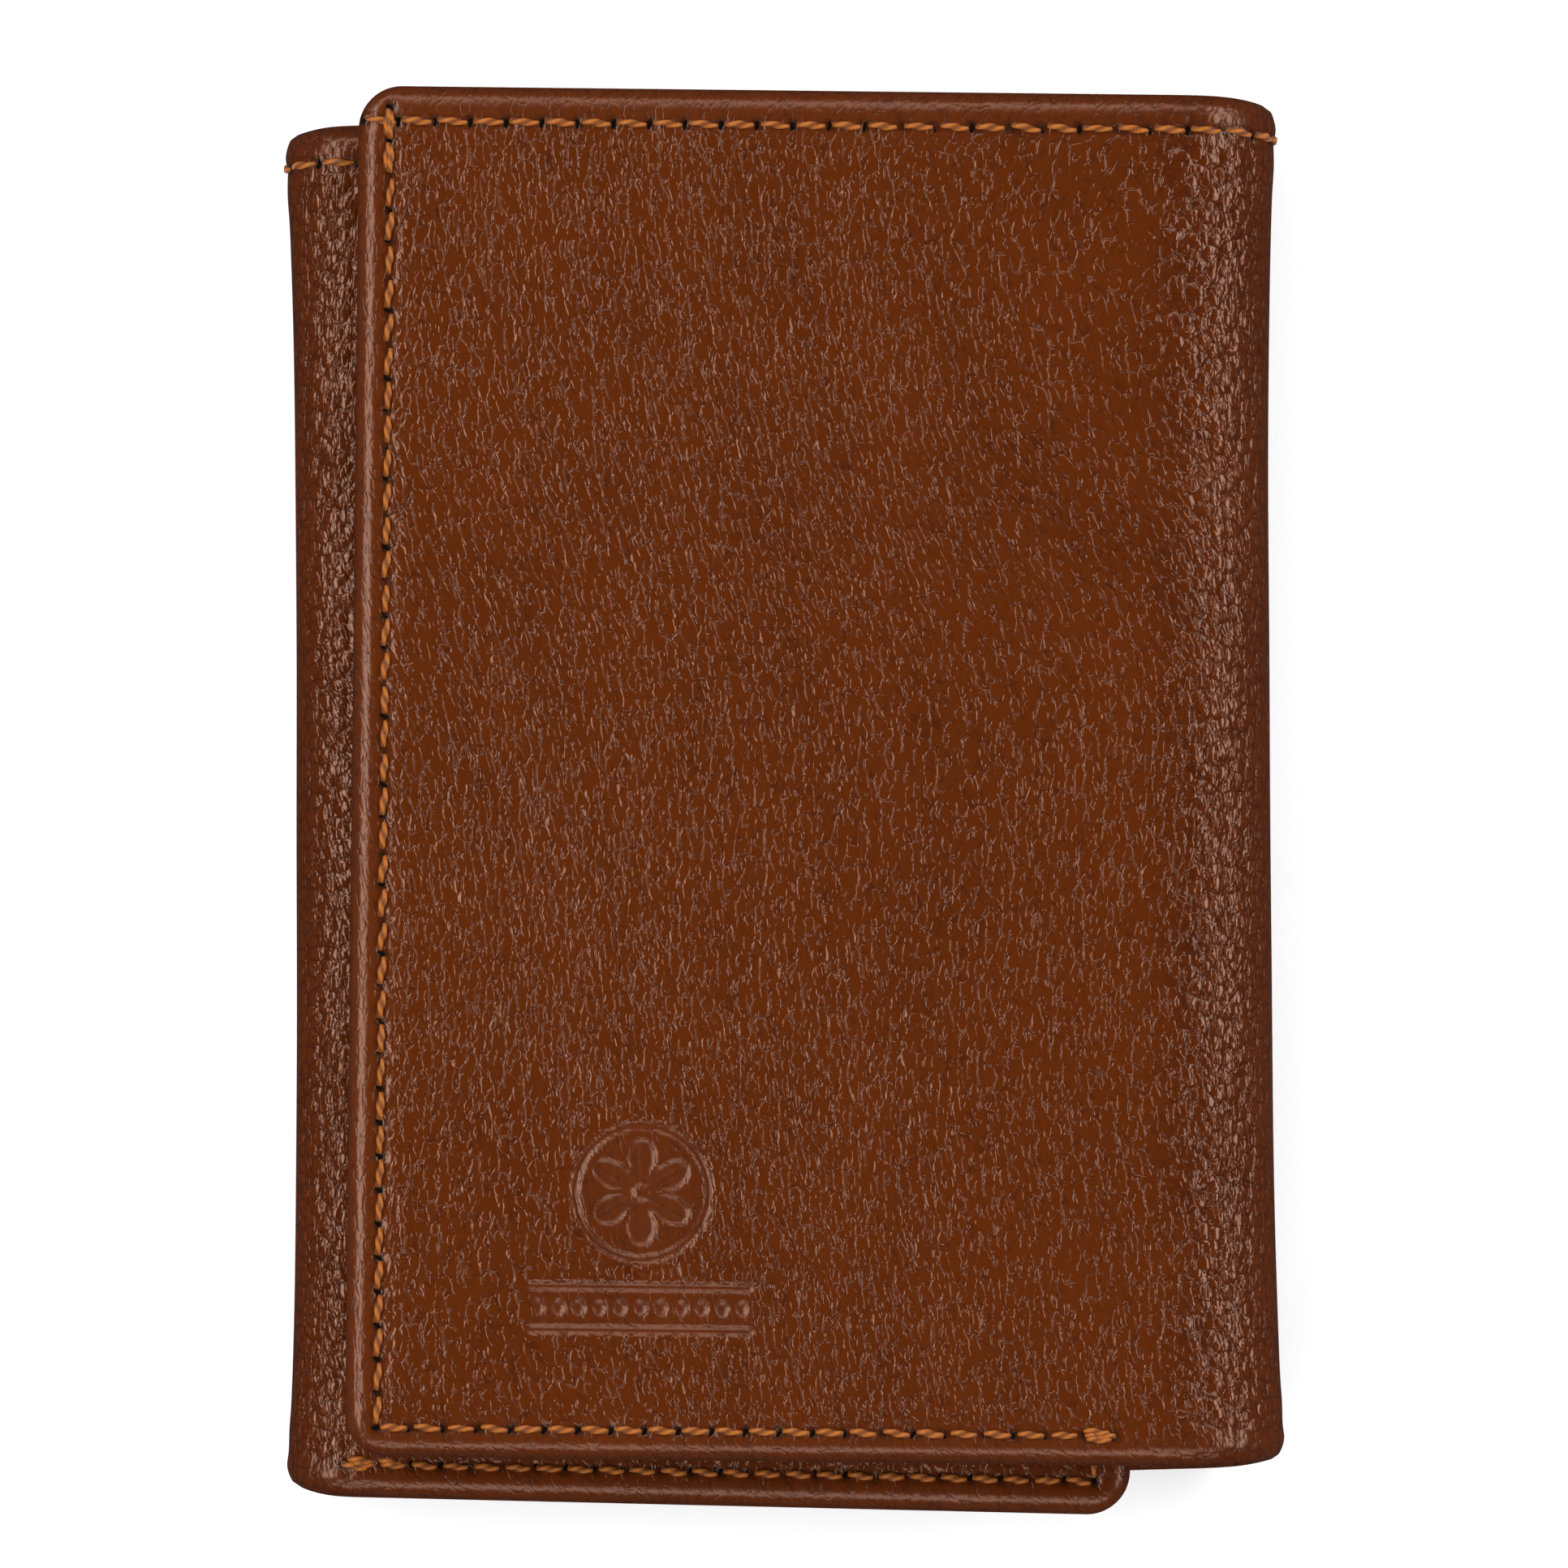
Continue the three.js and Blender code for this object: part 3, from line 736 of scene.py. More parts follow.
def material_named(name):
    """The wallet's materials, each made the first time that it is asked for."""
    found = bpy.data.materials.get(name)
    if found:
        return found
    look = bpy.context.scene.wallet_leather
    if name == "milled_cowhide":
        return leather(name, look.crease, look.skin, look.worn, look.grain, look.grain_depth, look.gloss,
                       0.66)
    if name == "pocket_calf":
        return leather(name, look.inner_crease_shade, look.inner_skin, look.inner_worn, 0.8 * look.grain,
                       0.6 * look.grain_depth, look.gloss + 0.12, 0.35)
    if name == "nylon_lining":
        return woven_lining(name, srgb("#1d130d"), srgb("#3c2a20"), 0.35 * MM)
    if name == "waxed_thread":
        sewing = bpy.context.scene.wallet_sewing
        return waxed_thread(name, sewing.shade, sewing.light)
    # Painted shade for the slits in the needle holes.
    if name == "needle_hole_shade":
        return shade_in_holes(name)
    return clear_film(name)


# ---- Pieces ----
def settle(thing, slot, nodes, body=None, fold=None, half=None):
    """Hides the CAD nodes that a piece stands for, and ties a piece on a panel to that panel's body.

    A piece on a bend is tied to no body: it keeps its place, baked into its mesh."""
    if nodes:
        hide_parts(*nodes)
    if body:
        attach(thing, body)
        return
    if half == "lower":
        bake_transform(thing)
    else:
        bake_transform(thing)


COVER_DEPTHS = (0, 1.2 * MM)              # outer and inner face of each layer of the strip
LINING_DEPTHS = (1.32 * MM, 1.5 * MM)
WALL_DEPTHS = (1.9 * MM, 2.4 * MM)
HEM_THREAD = 2.5 * MM     # depth of the thread on the bill wall's hem
OVERLAP = 3.4 * MM        # how far a bend's piece runs on into the flat of the spine
COVER_TOP = TOP + 0.6 * MM      # the cover stands a little past its frame at the top
WALL_TOP = extent("spine_bill_wall")[1][1]
CREST_LINE = {name: at_fold(fold, fold.bend / 2) for name, fold in FOLDS.items()}
SPINE_LINE = {name: at_fold(fold, -OVERLAP) for name, fold in FOLDS.items()}
SPAN = {
    "front_flap": (CREST_LINE["right"], flap_end),
    "right_fold": (SPINE_LINE["right"], CREST_LINE["right"]),
    "spine": (SPINE_LINE["left"], SPINE_LINE["right"]),
    "left_fold": (CREST_LINE["left"], SPINE_LINE["left"]),
    "inner_flap": (straight(INNER_S), CREST_LINE["left"]),
}
MOTION = {
    "front_flap": {"fold": "right", "half": "upper"},
    "right_fold": {"fold": "right", "half": "lower"},
    "spine": {"body": "spine"},
    "left_fold": {"fold": "left", "half": "lower"},
    "inner_flap": {"fold": "left", "half": "upper"},
}
PANELS = ("spine", "front_flap", "inner_flap")


def inset_span(name, inset):
    """The span of a layer that stops short of the free edges."""
    near, far = SPAN[name]
    if name == "front_flap":
        return near, lambda v: flap_end(v) - inset
    if name == "inner_flap":
        return straight(INNER_S + inset), far
    return near, far


def free_edges(name):
    """Which edges of a layer are free: its two ends, as s grows, then its bottom and its top."""
    return [name == "inner_flap", name == "front_flap", True, True]


def panel_sheet(node, **edges):
    """A rectangular sheet as large as a CAD node on a flat panel, with its size and its two depths."""
    (left, right), (low, high), depths = extent(node)
    sheet = Sheet(straight(left), straight(right), low, high, [True] * 4, **edges)
    return sheet, (right - left, high - low), depths


def hem(s, v):
    """Extra thickness inside the cover's top edge, where the leather is turned in and sewn down."""
    return 0.32 * MM * smooth_step(v, TOP - 7.4 * MM, TOP - 6.9 * MM)


def make_covers():
    """The outer leather in five pieces, from the front flap round both bends to the inner flap."""
    skin = material_named("milled_cowhide")
    step = {"front_flap": 0.8 * MM, "inner_flap": 0.8 * MM, "spine": 0.9 * MM}
    marks = {"hole_shading_mask": hole_shading_mask, "calm": calm, "bent": bent}
    for name, (near, far) in SPAN.items():
        fine_v = [(TOP_ROW, 0.8 * MM, 0.3 * MM), (BOTTOM_ROW, 0.8 * MM, 0.3 * MM)]
        fine_s = []
        if name == "front_flap":
            fine_s = [(FLAP_S - 2.2 * MM, 1.0 * MM, 0.25 * MM), (STAMP_S, 8 * MM, 0.27 * MM)]
            fine_v.append((STAMP_V - 3.5 * MM, 7.5 * MM, 0.27 * MM))
        if name == "inner_flap":
            fine_s = [(INNER_S + INNER_SEAM, 0.8 * MM, 0.3 * MM)]
        sheet = Sheet(near, far, -TOP, COVER_TOP, free_edges(name), corner=3.5 * MM, rim=0.4 * MM,
                      roll=2.2 * MM, tuck=0.15, step=step.get(name, 0.5 * MM), fine_s=fine_s, fine_v=fine_v)
        thing = sheet.make(f"{name}_cover_leather", COVER_DEPTHS, skin, cover_relief, hem, marks)
        settle(thing, "leather", [f"{name}_cover"], **MOTION[name])


def make_linings():
    """The bill compartment's cloth, laid against the inside of the cover."""
    cloth = material_named("nylon_lining")
    low, high = -TOP + 1.2 * MM, TOP - 6.6 * MM
    for name in SPAN:
        near, far = inset_span(name, 1.4 * MM)
        sheet = Sheet(near, far, low, high, free_edges(name), rim=0.08 * MM, step=2.0 * MM)
        thing = sheet.make(f"{name}_lining_cloth", LINING_DEPTHS, cloth)
        settle(thing, "lining", [f"{name}_lining"], **MOTION[name])
        width = abs(float(far(0.0)) - float(near(0.0)))


def wall_seam(s, v):
    """The bill wall's edge is turned in and pressed against the cover where the two are sewn together."""
    sides = from_end(s, v)
    on_spine = (s > FOLD_START["left"]) & (s < FOLD_START["right"])
    bottom = np.where(on_spine | (sides < FAR), v + TOP, FAR)
    return 0.6 * MM * (1 - smooth_step(np.minimum(sides, bottom), 2.6 * MM, 5.5 * MM))


def wall_hem(s, v):
    """A low turned hem along the bill wall's top edge."""
    return 0.12 * MM * smooth_step(v, WALL_TOP - 5.2 * MM, WALL_TOP - 4.6 * MM)


def make_bill_walls():
    """The second long leather layer, lower than the cover, that closes the bill compartment."""
    calf = material_named("pocket_calf")
    inset = 0.5 * MM
    for name in SPAN:
        near, far = inset_span(name, inset)
        sheet = Sheet(near, far, -TOP + inset, WALL_TOP, free_edges(name), corner=3.2 * MM, rim=0.35 * MM)
        thing = sheet.make(f"{name}_bill_wall_leather", WALL_DEPTHS, calf, wall_seam, wall_hem)
        settle(thing, "inner_leather", [f"{name}_bill_wall"], **MOTION[name])


def pocket_shape(mouth):
    """Relief of a card pocket's face: a raised lip at its mouth and a pressed line below it."""
    def face(s, v):
        line = -0.09 * MM * bell(mouth - v - 2.2 * MM, 0.22 * MM)
        lip = 0.12 * MM * bell(mouth - v - 0.5 * MM, 0.5 * MM)
        return line + lip
    return face


def make_pockets():
    """The pocket backings of all panels, and the card pockets of the spine panel and the front flap."""
    cloth = material_named("nylon_lining")
    for panel in PANELS:
        node = f"{panel}_pocket_backing"
        sheet, size, depths = panel_sheet(node, rim=0.08 * MM, step=2.0 * MM)
        thing = sheet.make(f"{panel}_backing_cloth", depths, cloth)
        settle(thing, "lining", [node], body=panel)
    calf = material_named("pocket_calf")
    for panel in ("spine", "front_flap"):
        for place in ("upper", "middle", "lower"):
            node = f"{panel}_card_pocket_{place}"
            mouth = extent(node)[1][1]
            line = (mouth - 2.2 * MM, 0.3 * MM, 0.15 * MM)
            sheet, _, depths = panel_sheet(node, corner=1.2 * MM, rim=0.2 * MM, fine_v=[line])
            thing = sheet.make(f"{panel}_{place}_pocket_leather", depths, calf, inner=pocket_shape(mouth))
            settle(thing, "inner_leather", [node], body=panel)


def make_window():
    """The inner flap's card window: a leather frame round a clear film."""
    (left, right), (low, high), depths = extent("inner_flap_window_frame")
    border = 7.0 * MM
    hole = (left + border, right - border, low + border, high - border)
    thing = window_frame("inner_flap_window_leather", (left, right, low, high), hole, depths)
    settle(thing, "inner_leather", ["inner_flap_window_frame"], body="inner_flap")
    sheet, _, depths = panel_sheet("inner_flap_window_film", rim=0.12 * MM, step=1.5 * MM)
    film = sheet.make("inner_flap_clear_film", depths, material_named("clear_film"))
    settle(film, "film", ["inner_flap_window_film"], body="inner_flap")


def round_loop(left, right, low, high, radius):
    """Points round a rectangle with round corners: each corner's arc, then the straight run to the next."""
    turn = np.linspace(0, math.pi / 2, 14)
    parts = []
    for quarter, (x, y) in enumerate([(right, high), (left, high), (left, low), (right, low)]):
        angle = turn + quarter * math.pi / 2
        centre_x = x - radius * (1 if x == right else -1)
        centre_y = y - radius * (1 if y == high else -1)
        arc = np.stack([centre_x + radius * np.cos(angle), centre_y + radius * np.sin(angle)], axis=1)
        parts.append(arc)
    return np.concatenate(parts)


def window_frame(name, outer, hole, depths):
    """A flat ring of leather: a round-edged section carried round between the outline and the opening's.

    Each edge is a half circle in depth, whose width is 0.03 of the border's."""
    low, high = depths
    outside = round_loop(*outer, 1.2 * MM)
    inside = round_loop(*hole, 4.0 * MM)
    border = inside - outside
    angle = np.linspace(0, math.pi, 9)
    inset = (1 - np.sin(angle))[:, None, None]
    lift = np.cos(angle) * ((high - low) / 2)
    path = np.concatenate([outside + border * 0.03 * inset, inside - border * 0.03 * inset])
    depth = (low + high) / 2 + np.concatenate([lift, -lift])
    points = wrap(path[..., 0], path[..., 1], depth[:, None])
    index = np.arange(path[..., 0].size).reshape(path.shape[:2])
    closed = np.pad(index, ((0, 1), (0, 1)), mode="wrap")
    thing = new_object(name, points, grid_faces(closed).tolist(), material_named("pocket_calf"))
    point_out(thing)
    return thing


# ---- Thread ----
SIDES = 10                # corners of a stitch's section
STATIONS = 11             # sections along a stitch
TWIST = 1.1               # turns that the plies make along a stitch
PLY_SWELL = 0.17          # how far the two plies stand out of a round section
FLATNESS = 0.85           # height of a section as a share of its width, pressed in sewing
TIP, BULGE = 0.42, 0.58   # thickness next to a tip, and how much more the middle has
SLANT, SLANT_SPREAD = 0.22, 0.08      # lean from end to end, and how much it varies
SLANT_UNIT = 0.35         # a lean of this much is one thickness of the thread
SIZE_SPREAD = 0.05        # how unlike each other the stitches' thicknesses are
SLIT_SIDES = 10           # corners of a needle hole's outline
OUTSIDE, INSIDE = -1, 1   # which way a stitch stands off the strip
INSIDE_SHARE = 0.8        # thickness of the inside rows' thread, as a share of the outside rows'
TOP_SINK, EDGE_SINK, INSIDE_SINK = 0.4 * MM, 0.5 * MM, 0.3 * MM     # how deep a stitch's tips dive
TOP_SLIT = (0.15 * MM, 0.42 * MM)     # half sizes of the needle holes
EDGE_SLIT = (0.16 * MM, 0.34 * MM)


def stitches(name, holes, surface, facing, radius, sink, again=()):
    """One closed spindle of two-ply thread for each pair of neighbouring holes.

    The middle line runs from hole to hole with a slight slant. It stands out by the sine of its share of
    the way and dives at both ends. The section's radius swells twice in a turn, and that turn advances
    along the stitch, which twists the two plies round each other. facing is OUTSIDE or INSIDE. again lists
    stitches sewn over once more, each with its shift in millimetres."""
    start, end = holes[:-1], holes[1:]
    repeated = [which % len(start) for which, _ in again]
    chosen = np.concatenate([np.arange(len(start)), repeated]).astype(int)
    shifts = np.reshape([shift for _, shift in again], (-1, 2)) * MM
    nudge = np.concatenate([np.zeros((len(start), 2)), shifts])
    start, end = start[chosen] + nudge, end[chosen] + nudge
    count = len(start)
    luck = np.random.default_rng(len(name)).normal(0, 1, (count, 2, 1))
    slant = SLANT + SLANT_SPREAD * luck[:, 0]
    radius = radius * (1 + SIZE_SPREAD * luck[:, 1])
    run = end - start
    along = run / np.linalg.norm(run, axis=1, keepdims=True)
    across = np.stack([-along[:, 1], along[:, 0]], axis=1)

    share = np.linspace(0, 1, STATIONS)
    arch = np.sin(math.pi * share)
    reach = 0.01 + 0.98 * share
    middle = start[:, None] + run[:, None] * reach[None, :, None]
    middle = middle + across[:, None] * ((share - 0.5) * slant * 2 * radius / SLANT_UNIT)[..., None]
    thick = radius * (TIP + BULGE * arch**0.5)
    thick = thick * np.where((share == 0) | (share == 1), 0, 1)
    turn = np.linspace(0, 2 * math.pi, SIDES, endpoint=False)
    twist = 2 * math.pi * TWIST * share
    ply = np.cos(2 * (turn[None] - twist[:, None]))
    section = thick[..., None] * (1 + PLY_SWELL * ply)
    side = section * np.cos(turn)
    out = section * np.sin(turn) * FLATNESS
    s = middle[:, :, None, 0] + across[:, None, None, 0] * side
    v = middle[:, :, None, 1] + across[:, None, None, 1] * side
    base = surface(middle[..., 0], middle[..., 1])[:, :, None]
    rise = (arch**0.65 * (radius * 0.5 + sink) - sink)[..., None]
    points = wrap(s, v, base + facing * (rise + out))

    # The sections between the tips make the body. Each tip is one vertex, joined to the nearest section.
    rings = STATIONS - 2
    body = points[:, 1:-1].reshape(count, -1, 3)
    every = np.concatenate([body, points[:, [0, -1], 0]], axis=1)
    index = np.pad(np.arange(rings * SIDES).reshape(rings, SIDES), ((0, 0), (0, 1)), mode="wrap")
    first, last = np.full(SIDES, rings * SIDES), np.full(SIDES, rings * SIDES + 1)
    caps = np.concatenate([np.stack([index[0, :-1], index[0, 1:], first], axis=1),
                           np.stack([index[-1, 1:], index[-1, :-1], last], axis=1)])
    one = [*grid_faces(index).tolist(), *caps.tolist()]
    each = rings * SIDES + 2
    faces = [[corner + k * each for corner in face] for k in range(count) for face in one]
    thing = new_object(name, every, faces, material_named("waxed_thread"))
    # Painted shade: the thread is coloured darker in the groove where the plies meet and at both tips.
    body_shade = np.tile(0.5 + 0.5 * ply[1:-1].ravel(), (count, 1))
    shade = np.concatenate([body_shade, np.zeros((count, 2))], axis=1)
    give_attribute(thing, "ply", shade * 0.65)
    point_out(thing)
    return thing


def shade_slits(name, holes, size, turn, offset):
    """A dark slit of painted shade at each needle hole of the cover: a flat double cone on an elliptic outline.

    size gives its two half sizes, along the row and across it, before it turns by the angle turn."""
    run = np.gradient(holes, axis=0)
    run /= np.linalg.norm(run, axis=1, keepdims=True)
    cos, sin = math.cos(turn), math.sin(turn)
    along = np.stack([run[:, 0] * cos - run[:, 1] * sin, run[:, 0] * sin + run[:, 1] * cos], axis=1)
    across = np.stack([-along[:, 1], along[:, 0]], axis=1)
    angle = np.linspace(0, 2 * math.pi, SLIT_SIDES, endpoint=False)
    ring = (holes + across * offset)[:, None] + along[:, None] * (size[0] * np.cos(angle))[None, :, None]
    ring = ring + across[:, None] * (size[1] * np.sin(angle))[None, :, None]
    s, v = ring[..., 0], ring[..., 1]
    rim = wrap(s, v, face_depth(s, v) - 0.02 * MM)
    tips = [wrap(*holes.T, face_depth(*holes.T) + lift)[:, None] for lift in (-0.04 * MM, 0.4 * MM)]
    every = np.concatenate([rim, *tips], axis=1)
    sides = [(i, (i + 1) % SLIT_SIDES) for i in range(SLIT_SIDES)]
    one = [[i, j, SLIT_SIDES] for i, j in sides] + [[j, i, SLIT_SIDES + 1] for i, j in sides]
    each = SLIT_SIDES + 2
    faces = [[corner + k * each for corner in face] for k in range(len(holes)) for face in one]
    thing = new_object(name, every, faces, material_named("needle_hole_shade"))
    point_out(thing)
    return thing


def row_bed(s, v):
    """Depth that an outside row's thread lies at: in its groove, deeper on the spine and the right crest."""
    crest = bell(s - FOLD_CREST["right"], 2.5 * MM)
    return 0.06 * MM + 0.42 * MM * (1 - stand(s, v)) + 0.12 * MM * crest


def face_depth(s, v):
    """Depth of the cover's outer face."""
    return -cover_relief(s, v)


def level_at(depth):
    """A flat face at one depth."""
    def surface(s, v):
        return depth + 0 * s
    return surface


def between(holes, low, high):
    """The part of a row whose stitches have their middles between two values of s."""
    middle = (holes[:-1, 0] + holes[1:, 0]) / 2
    chosen = np.flatnonzero((middle >= low) & (middle < high))
    return holes[chosen[0]:chosen[-1] + 2]


def sew_top_row(radius):
    """The row along the strip's top edge, one piece for each panel and bend."""
    limits = {
        "front_flap": (FOLD_CREST["right"], FLAP_S),
        "right_fold": (FOLD_START["right"], FOLD_CREST["right"]),
        "spine": (FOLD_START["left"], FOLD_START["right"]),
        "left_fold": (FOLD_CREST["left"], FOLD_START["left"]),
        "inner_flap": (INNER_S, FOLD_CREST["left"]),
    }
    for name, (low, high) in limits.items():
        holes = between(HOLES["top"], low, high)
        thing = stitches(f"{name}_top_thread", holes, row_bed, OUTSIDE, radius, TOP_SINK)
        settle(thing, "thread", [f"{name}_top_stitching"], **MOTION[name])
        # Painted shade: dark slits in the needle holes.
        slit_shades = shade_slits(f"{name}_top_slit_shading", holes[:-1], TOP_SLIT, 0.15, -0.1 * MM)
        settle(slit_shades, "leather", [], **MOTION[name])


def sew_edges(radius):
    """The rows along the flaps' free edges, with a back-tack at each end, and the spine's bottom row."""
    first = [(0, (0.28, 0.2)), (1, (0.28, 0.2))]
    knots = {
        "front_flap": ("front_edge", [*first, (-1, (0.1, 0.3)), (-1, (-0.1, -0.3)), (-1, (-0.35, 0.05))]),
        "inner_flap": ("inner_edge", [*first, (-1, (0.1, 0.3)), (-2, (0.2, 0.22)), (-1, (0.5, -0.2))]),
    }
    for name, (row, again) in knots.items():
        thing = stitches(f"{name}_edge_thread", HOLES[row], row_bed, OUTSIDE, radius, EDGE_SINK, again)
        settle(thing, "thread", [f"{name}_edge_stitching"], body=name)
        # Painted shade: dark slits in the needle holes.
        slit_shades = shade_slits(f"{name}_edge_slit_shading", HOLES[row], EDGE_SLIT, 0.6, 0.12 * MM)
        settle(slit_shades, "leather", [], body=name)
    thing = stitches("spine_bottom_thread", HOLES["spine_bottom"], row_bed, OUTSIDE, radius, TOP_SINK)
    settle(thing, "thread", ["spine_bottom_stitching"], body="spine")


def sew_inside(radius):
    """Each panel's bill wall hem, and the three sewn sides of its pockets or its window."""
    thin = radius * INSIDE_SHARE
    for panel in PANELS:
        node = f"{panel}_bill_wall_stitching"
        (left, right), (low, high), _ = extent(node)
        middle = (low + high) / 2
        row = row_holes([(left + MM, middle), (right - MM, middle)], EDGE_PITCH)
        thing = stitches(f"{panel}_bill_wall_thread", row, level_at(HEM_THREAD), INSIDE, thin, INSIDE_SINK)
        settle(thing, "thread", [node], body=panel)
        node = f"{panel}_pocket_stitching"
        (left, right), (low, high), (near, _) = extent(node)
        left, right, low = left + radius, right - radius, low + radius
        row = row_holes([(left, high), (left, low), (right, low), (right, high)], EDGE_PITCH)
        thing = stitches(f"{panel}_pocket_thread", row, level_at(near - 0.1 * MM), INSIDE, thin, INSIDE_SINK)
        settle(thing, "thread", [node], body=panel)


def make_stitching():
    """Every sewn row, stitch by stitch."""
    radius = bpy.context.scene.wallet_sewing.width / 2
    sew_top_row(radius)
    sew_edges(radius)
    sew_inside(radius)


# ---- Stage ----
TABLE_HALF = 1.5                      # half the table's width, in metres
LAMP_COLOUR = (1.0, 0.94, 0.88)       # a slightly warm white, linear
SIDE_LAMP_REACH = 0.85                # metres from the wallet
SIDE_LAMPS = (("left_lamp", -1, 43, 1.15), ("right_lamp", 1, 60, 1.05))    # side, degrees off upright, share
END_LAMPS = (("top_lamp", 0.62, 0.5), ("near_lamp", -0.62, 0.55))          # y in metres, share of the power
CAMERA_X, CAMERA_Y = -0.2 * MM, 1.7 * MM


def area_light(name, place, size, power):
    """A soft rectangular lamp that faces the wallet."""
    lamp = bpy.data.lights.new(name, "AREA")
    lamp.shape = "RECTANGLE"
    lamp.size, lamp.size_y = size
    lamp.energy = power
    lamp.color = LAMP_COLOUR
    thing = bpy.data.objects.new(name, lamp)
    bpy.context.scene.collection.objects.link(thing)
    x, y, z = place
    thing.location = place
    thing.rotation_euler = (-math.atan2(y, z), math.atan2(x, math.hypot(y, z)), 0)


def make_stage():
    """A pale table, two long side lamps, two end lamps, a soft sky and the camera straight above."""
    stage = bpy.context.scene.wallet_stage
    mesh = bpy.data.meshes.new("table_top")
    corners = [(x * TABLE_HALF, y * TABLE_HALF, 0) for x, y in ((-1, -1), (1, -1), (1, 1), (-1, 1))]
    mesh.from_pydata(corners, [], [(0, 1, 2, 3)])
    mesh.materials.append(lit_acrylic("lit_white_acrylic", stage.table_glow))
    table = bpy.data.objects.new("table_top", mesh)
    bpy.context.scene.collection.objects.link(table)
    table.visible_glossy = False
    for name, side, tilt, share in SIDE_LAMPS:
        across, up = math.sin(math.radians(tilt)), math.cos(math.radians(tilt))
        place = (side * SIDE_LAMP_REACH * across, 0.1, SIDE_LAMP_REACH * up)
        area_light(name, place, (0.28, 0.9), share * stage.lamp_power)
    for name, y, share in END_LAMPS:
        area_light(name, (0.0, y, 0.6), (0.9, 0.25), share * stage.lamp_power)
    world = bpy.data.worlds.new("studio_sky")
    world.use_nodes = True
    sky = world.node_tree.nodes["Background"]
    sky.inputs[0].default_value = (1, 1, 1, 1)
    sky.inputs[1].default_value = stage.sky
    bpy.context.scene.world = world
    bpy.context.scene.view_settings.view_transform = "Standard"
    camera = bpy.data.cameras.new("camera")
    camera.lens = stage.lens
    camera.clip_start, camera.clip_end = 0.01, 10
    thing = bpy.data.objects.new("camera", camera)
    height = CAD_BOX[1][2] + stage.view_width * stage.lens / camera.sensor_width
    thing.location = (CAMERA_X, CAMERA_Y, height)
    bpy.context.scene.collection.objects.link(thing)
    bpy.context.scene.camera = thing


# ---- Properties, operators and panel ----
class WalletLeather(bpy.types.PropertyGroup):
    """Colours and grain of the wallet's leathers."""
    skin: bpy.props.FloatVectorProperty(name="Skin", description="Main colour of the outer leather",
                                        subtype="COLOR", default=srgb("#5a2708"))
    # Crease is the painted shade in the outer leather's creases.
    crease: bpy.props.FloatVectorProperty(name="Crease", description="Colour between the pebbles",
                                          subtype="COLOR", default=srgb("#381405"))
    worn: bpy.props.FloatVectorProperty(name="Worn", description="Colour of the tops of the pebbles",
                                        subtype="COLOR", default=srgb("#682d0c"))
    inner_skin: bpy.props.FloatVectorProperty(name="Inner skin", description="Colour of the pocket leather",
                                              subtype="COLOR", default=srgb("#582607"))
    # Inner crease is the painted shade in the pocket leather's creases.
    inner_crease_shade: bpy.props.FloatVectorProperty(name="Inner crease", description="Its colour in the creases",
                                                subtype="COLOR", default=srgb("#3a1604"))
    inner_worn: bpy.props.FloatVectorProperty(name="Inner worn", description="Its colour on the pebbles",
                                              subtype="COLOR", default=srgb("#652f0d"))
    grain: bpy.props.FloatProperty(name="Grain", description="Width of one pebble of the grain",
                                   unit="LENGTH", default=0.66 * MM, min=0.2 * MM, max=5 * MM)
    grain_depth: bpy.props.FloatProperty(name="Grain depth", description="Height of the pebbles",
                                         unit="LENGTH", default=0.075 * MM, min=0, max=MM)
    gloss: bpy.props.FloatProperty(name="Roughness", description="Roughness of the pebbles' tops",
                                   subtype="FACTOR", default=0.17, min=0.05, max=1)


class WalletSewing(bpy.types.PropertyGroup):
    """Colour and size of the thread."""
    width: bpy.props.FloatProperty(name="Width", description="Thickness of the thread",
                                   unit="LENGTH", default=0.56 * MM, min=0.2 * MM, max=2 * MM)
    shade: bpy.props.FloatVectorProperty(name="Shade", description="Colour between the plies",
                                         subtype="COLOR", default=srgb("#5c2b09"))
    light: bpy.props.FloatVectorProperty(name="Light", description="Colour of the filaments",
                                         subtype="COLOR", default=srgb("#c9751f"))


class WalletStage(bpy.types.PropertyGroup):
    """Camera and light."""
    lens: bpy.props.FloatProperty(name="Lens", description="Focal length of the camera",
                                  unit="CAMERA", default=900.0, min=20)
    view_width: bpy.props.FloatProperty(name="View width", description="Width seen at the front flap",
                                        unit="LENGTH", default=126.4 * MM, min=0.01)
    lamp_power: bpy.props.FloatProperty(name="Lamp power", description="Power of each side lamp",
                                        unit="POWER", default=4.9, min=0)
    sky: bpy.props.FloatProperty(name="Sky", description="Strength of the even light from all round",
                                 subtype="FACTOR", default=0.04, min=0, max=1)
    table_glow: bpy.props.FloatProperty(name="Table glow", description="Light that the table gives off",
                                        subtype="FACTOR", default=0.525, min=0, max=1)


class WALLET_OT_covers(bpy.types.Operator):
    """Make the outer leather of the three panels and the two bends"""
    bl_idname = "wallet.covers"
    bl_label = "Outer leather"

    def execute(self, context):
        make_covers()
        return {"FINISHED"}


class WALLET_OT_linings(bpy.types.Operator):
    """Make the bill compartment's cloth lining"""
    bl_idname = "wallet.linings"
    bl_label = "Lining"

    def execute(self, context):
        make_linings()
        return {"FINISHED"}


class WALLET_OT_bill_walls(bpy.types.Operator):
    """Make the leather wall of the bill compartment"""
    bl_idname = "wallet.bill_walls"
    bl_label = "Bill wall"

    def execute(self, context):
        make_bill_walls()
        return {"FINISHED"}


class WALLET_OT_pockets(bpy.types.Operator):
    """Make the pocket backings and the card pockets"""
    bl_idname = "wallet.pockets"
    bl_label = "Card pockets"

    def execute(self, context):
        make_pockets()
        return {"FINISHED"}


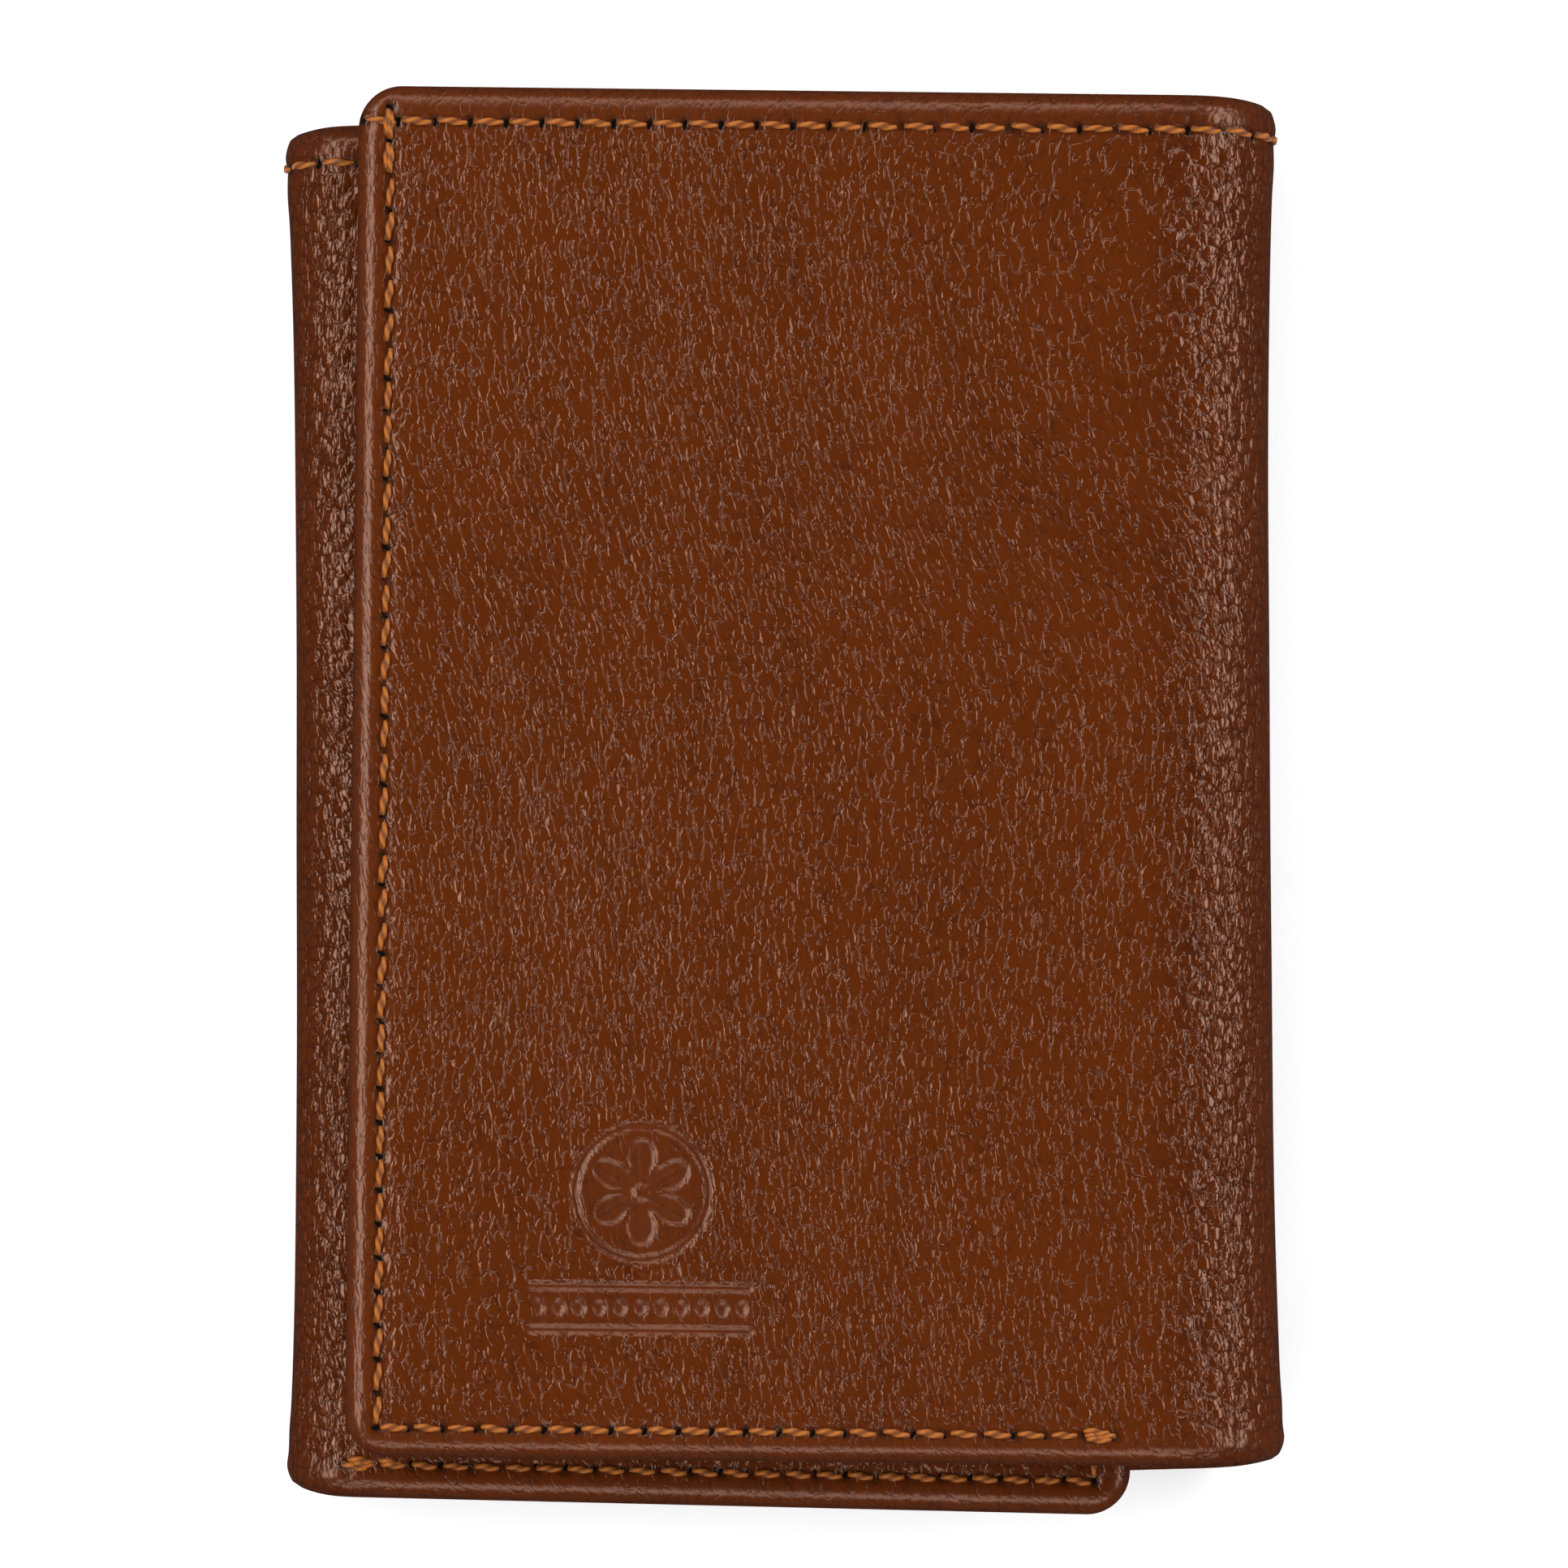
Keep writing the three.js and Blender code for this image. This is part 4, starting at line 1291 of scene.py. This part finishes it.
class WALLET_OT_window(bpy.types.Operator):
    """Make the card window's frame and film"""
    bl_idname = "wallet.window"
    bl_label = "Card window"

    def execute(self, context):
        make_window()
        return {"FINISHED"}


class WALLET_OT_stitching(bpy.types.Operator):
    """Sew every row of stitches"""
    bl_idname = "wallet.stitching"
    bl_label = "Stitching"

    def execute(self, context):
        make_stitching()
        return {"FINISHED"}


class WALLET_OT_stage(bpy.types.Operator):
    """Set up the table, the lamps and the camera"""
    bl_idname = "wallet.stage"
    bl_label = "Stage"

    def execute(self, context):
        make_stage()
        return {"FINISHED"}


OPERATORS = (
    WALLET_OT_stage, WALLET_OT_covers, WALLET_OT_linings, WALLET_OT_bill_walls, WALLET_OT_pockets,
    WALLET_OT_window, WALLET_OT_stitching,
)


class WALLET_PT_panel(bpy.types.Panel):
    """The wallet's settings and the operators that make it"""
    bl_label = "Trifold Wallet"
    bl_idname = "WALLET_PT_panel"
    bl_space_type = "VIEW_3D"
    bl_region_type = "UI"
    bl_category = "Wallet"

    def draw(self, context):
        for title in ("wallet_leather", "wallet_sewing", "wallet_stage"):
            group = getattr(context.scene, title)
            for key in group.bl_rna.properties.keys()[2:]:
                self.layout.prop(group, key)
        for operator in OPERATORS:
            self.layout.operator(operator.bl_idname)


CLASSES = (WalletLeather, WalletSewing, WalletStage, *OPERATORS, WALLET_PT_panel)


def register():
    """Adds the classes, and the settings to the scene."""
    for item in CLASSES:
        bpy.utils.register_class(item)
    bpy.types.Scene.wallet_leather = bpy.props.PointerProperty(type=WalletLeather)
    bpy.types.Scene.wallet_sewing = bpy.props.PointerProperty(type=WalletSewing)
    bpy.types.Scene.wallet_stage = bpy.props.PointerProperty(type=WalletStage)


def unregister():
    """Takes them away again."""
    del bpy.types.Scene.wallet_stage
    del bpy.types.Scene.wallet_sewing
    del bpy.types.Scene.wallet_leather
    for item in reversed(CLASSES):
        bpy.utils.unregister_class(item)


def main():
    """Makes the whole wallet."""
    register()
    for operator in OPERATORS:
        group, name = operator.bl_idname.split(".")
        getattr(getattr(bpy.ops, group), name)()


if __name__ == "__main__":
    main()
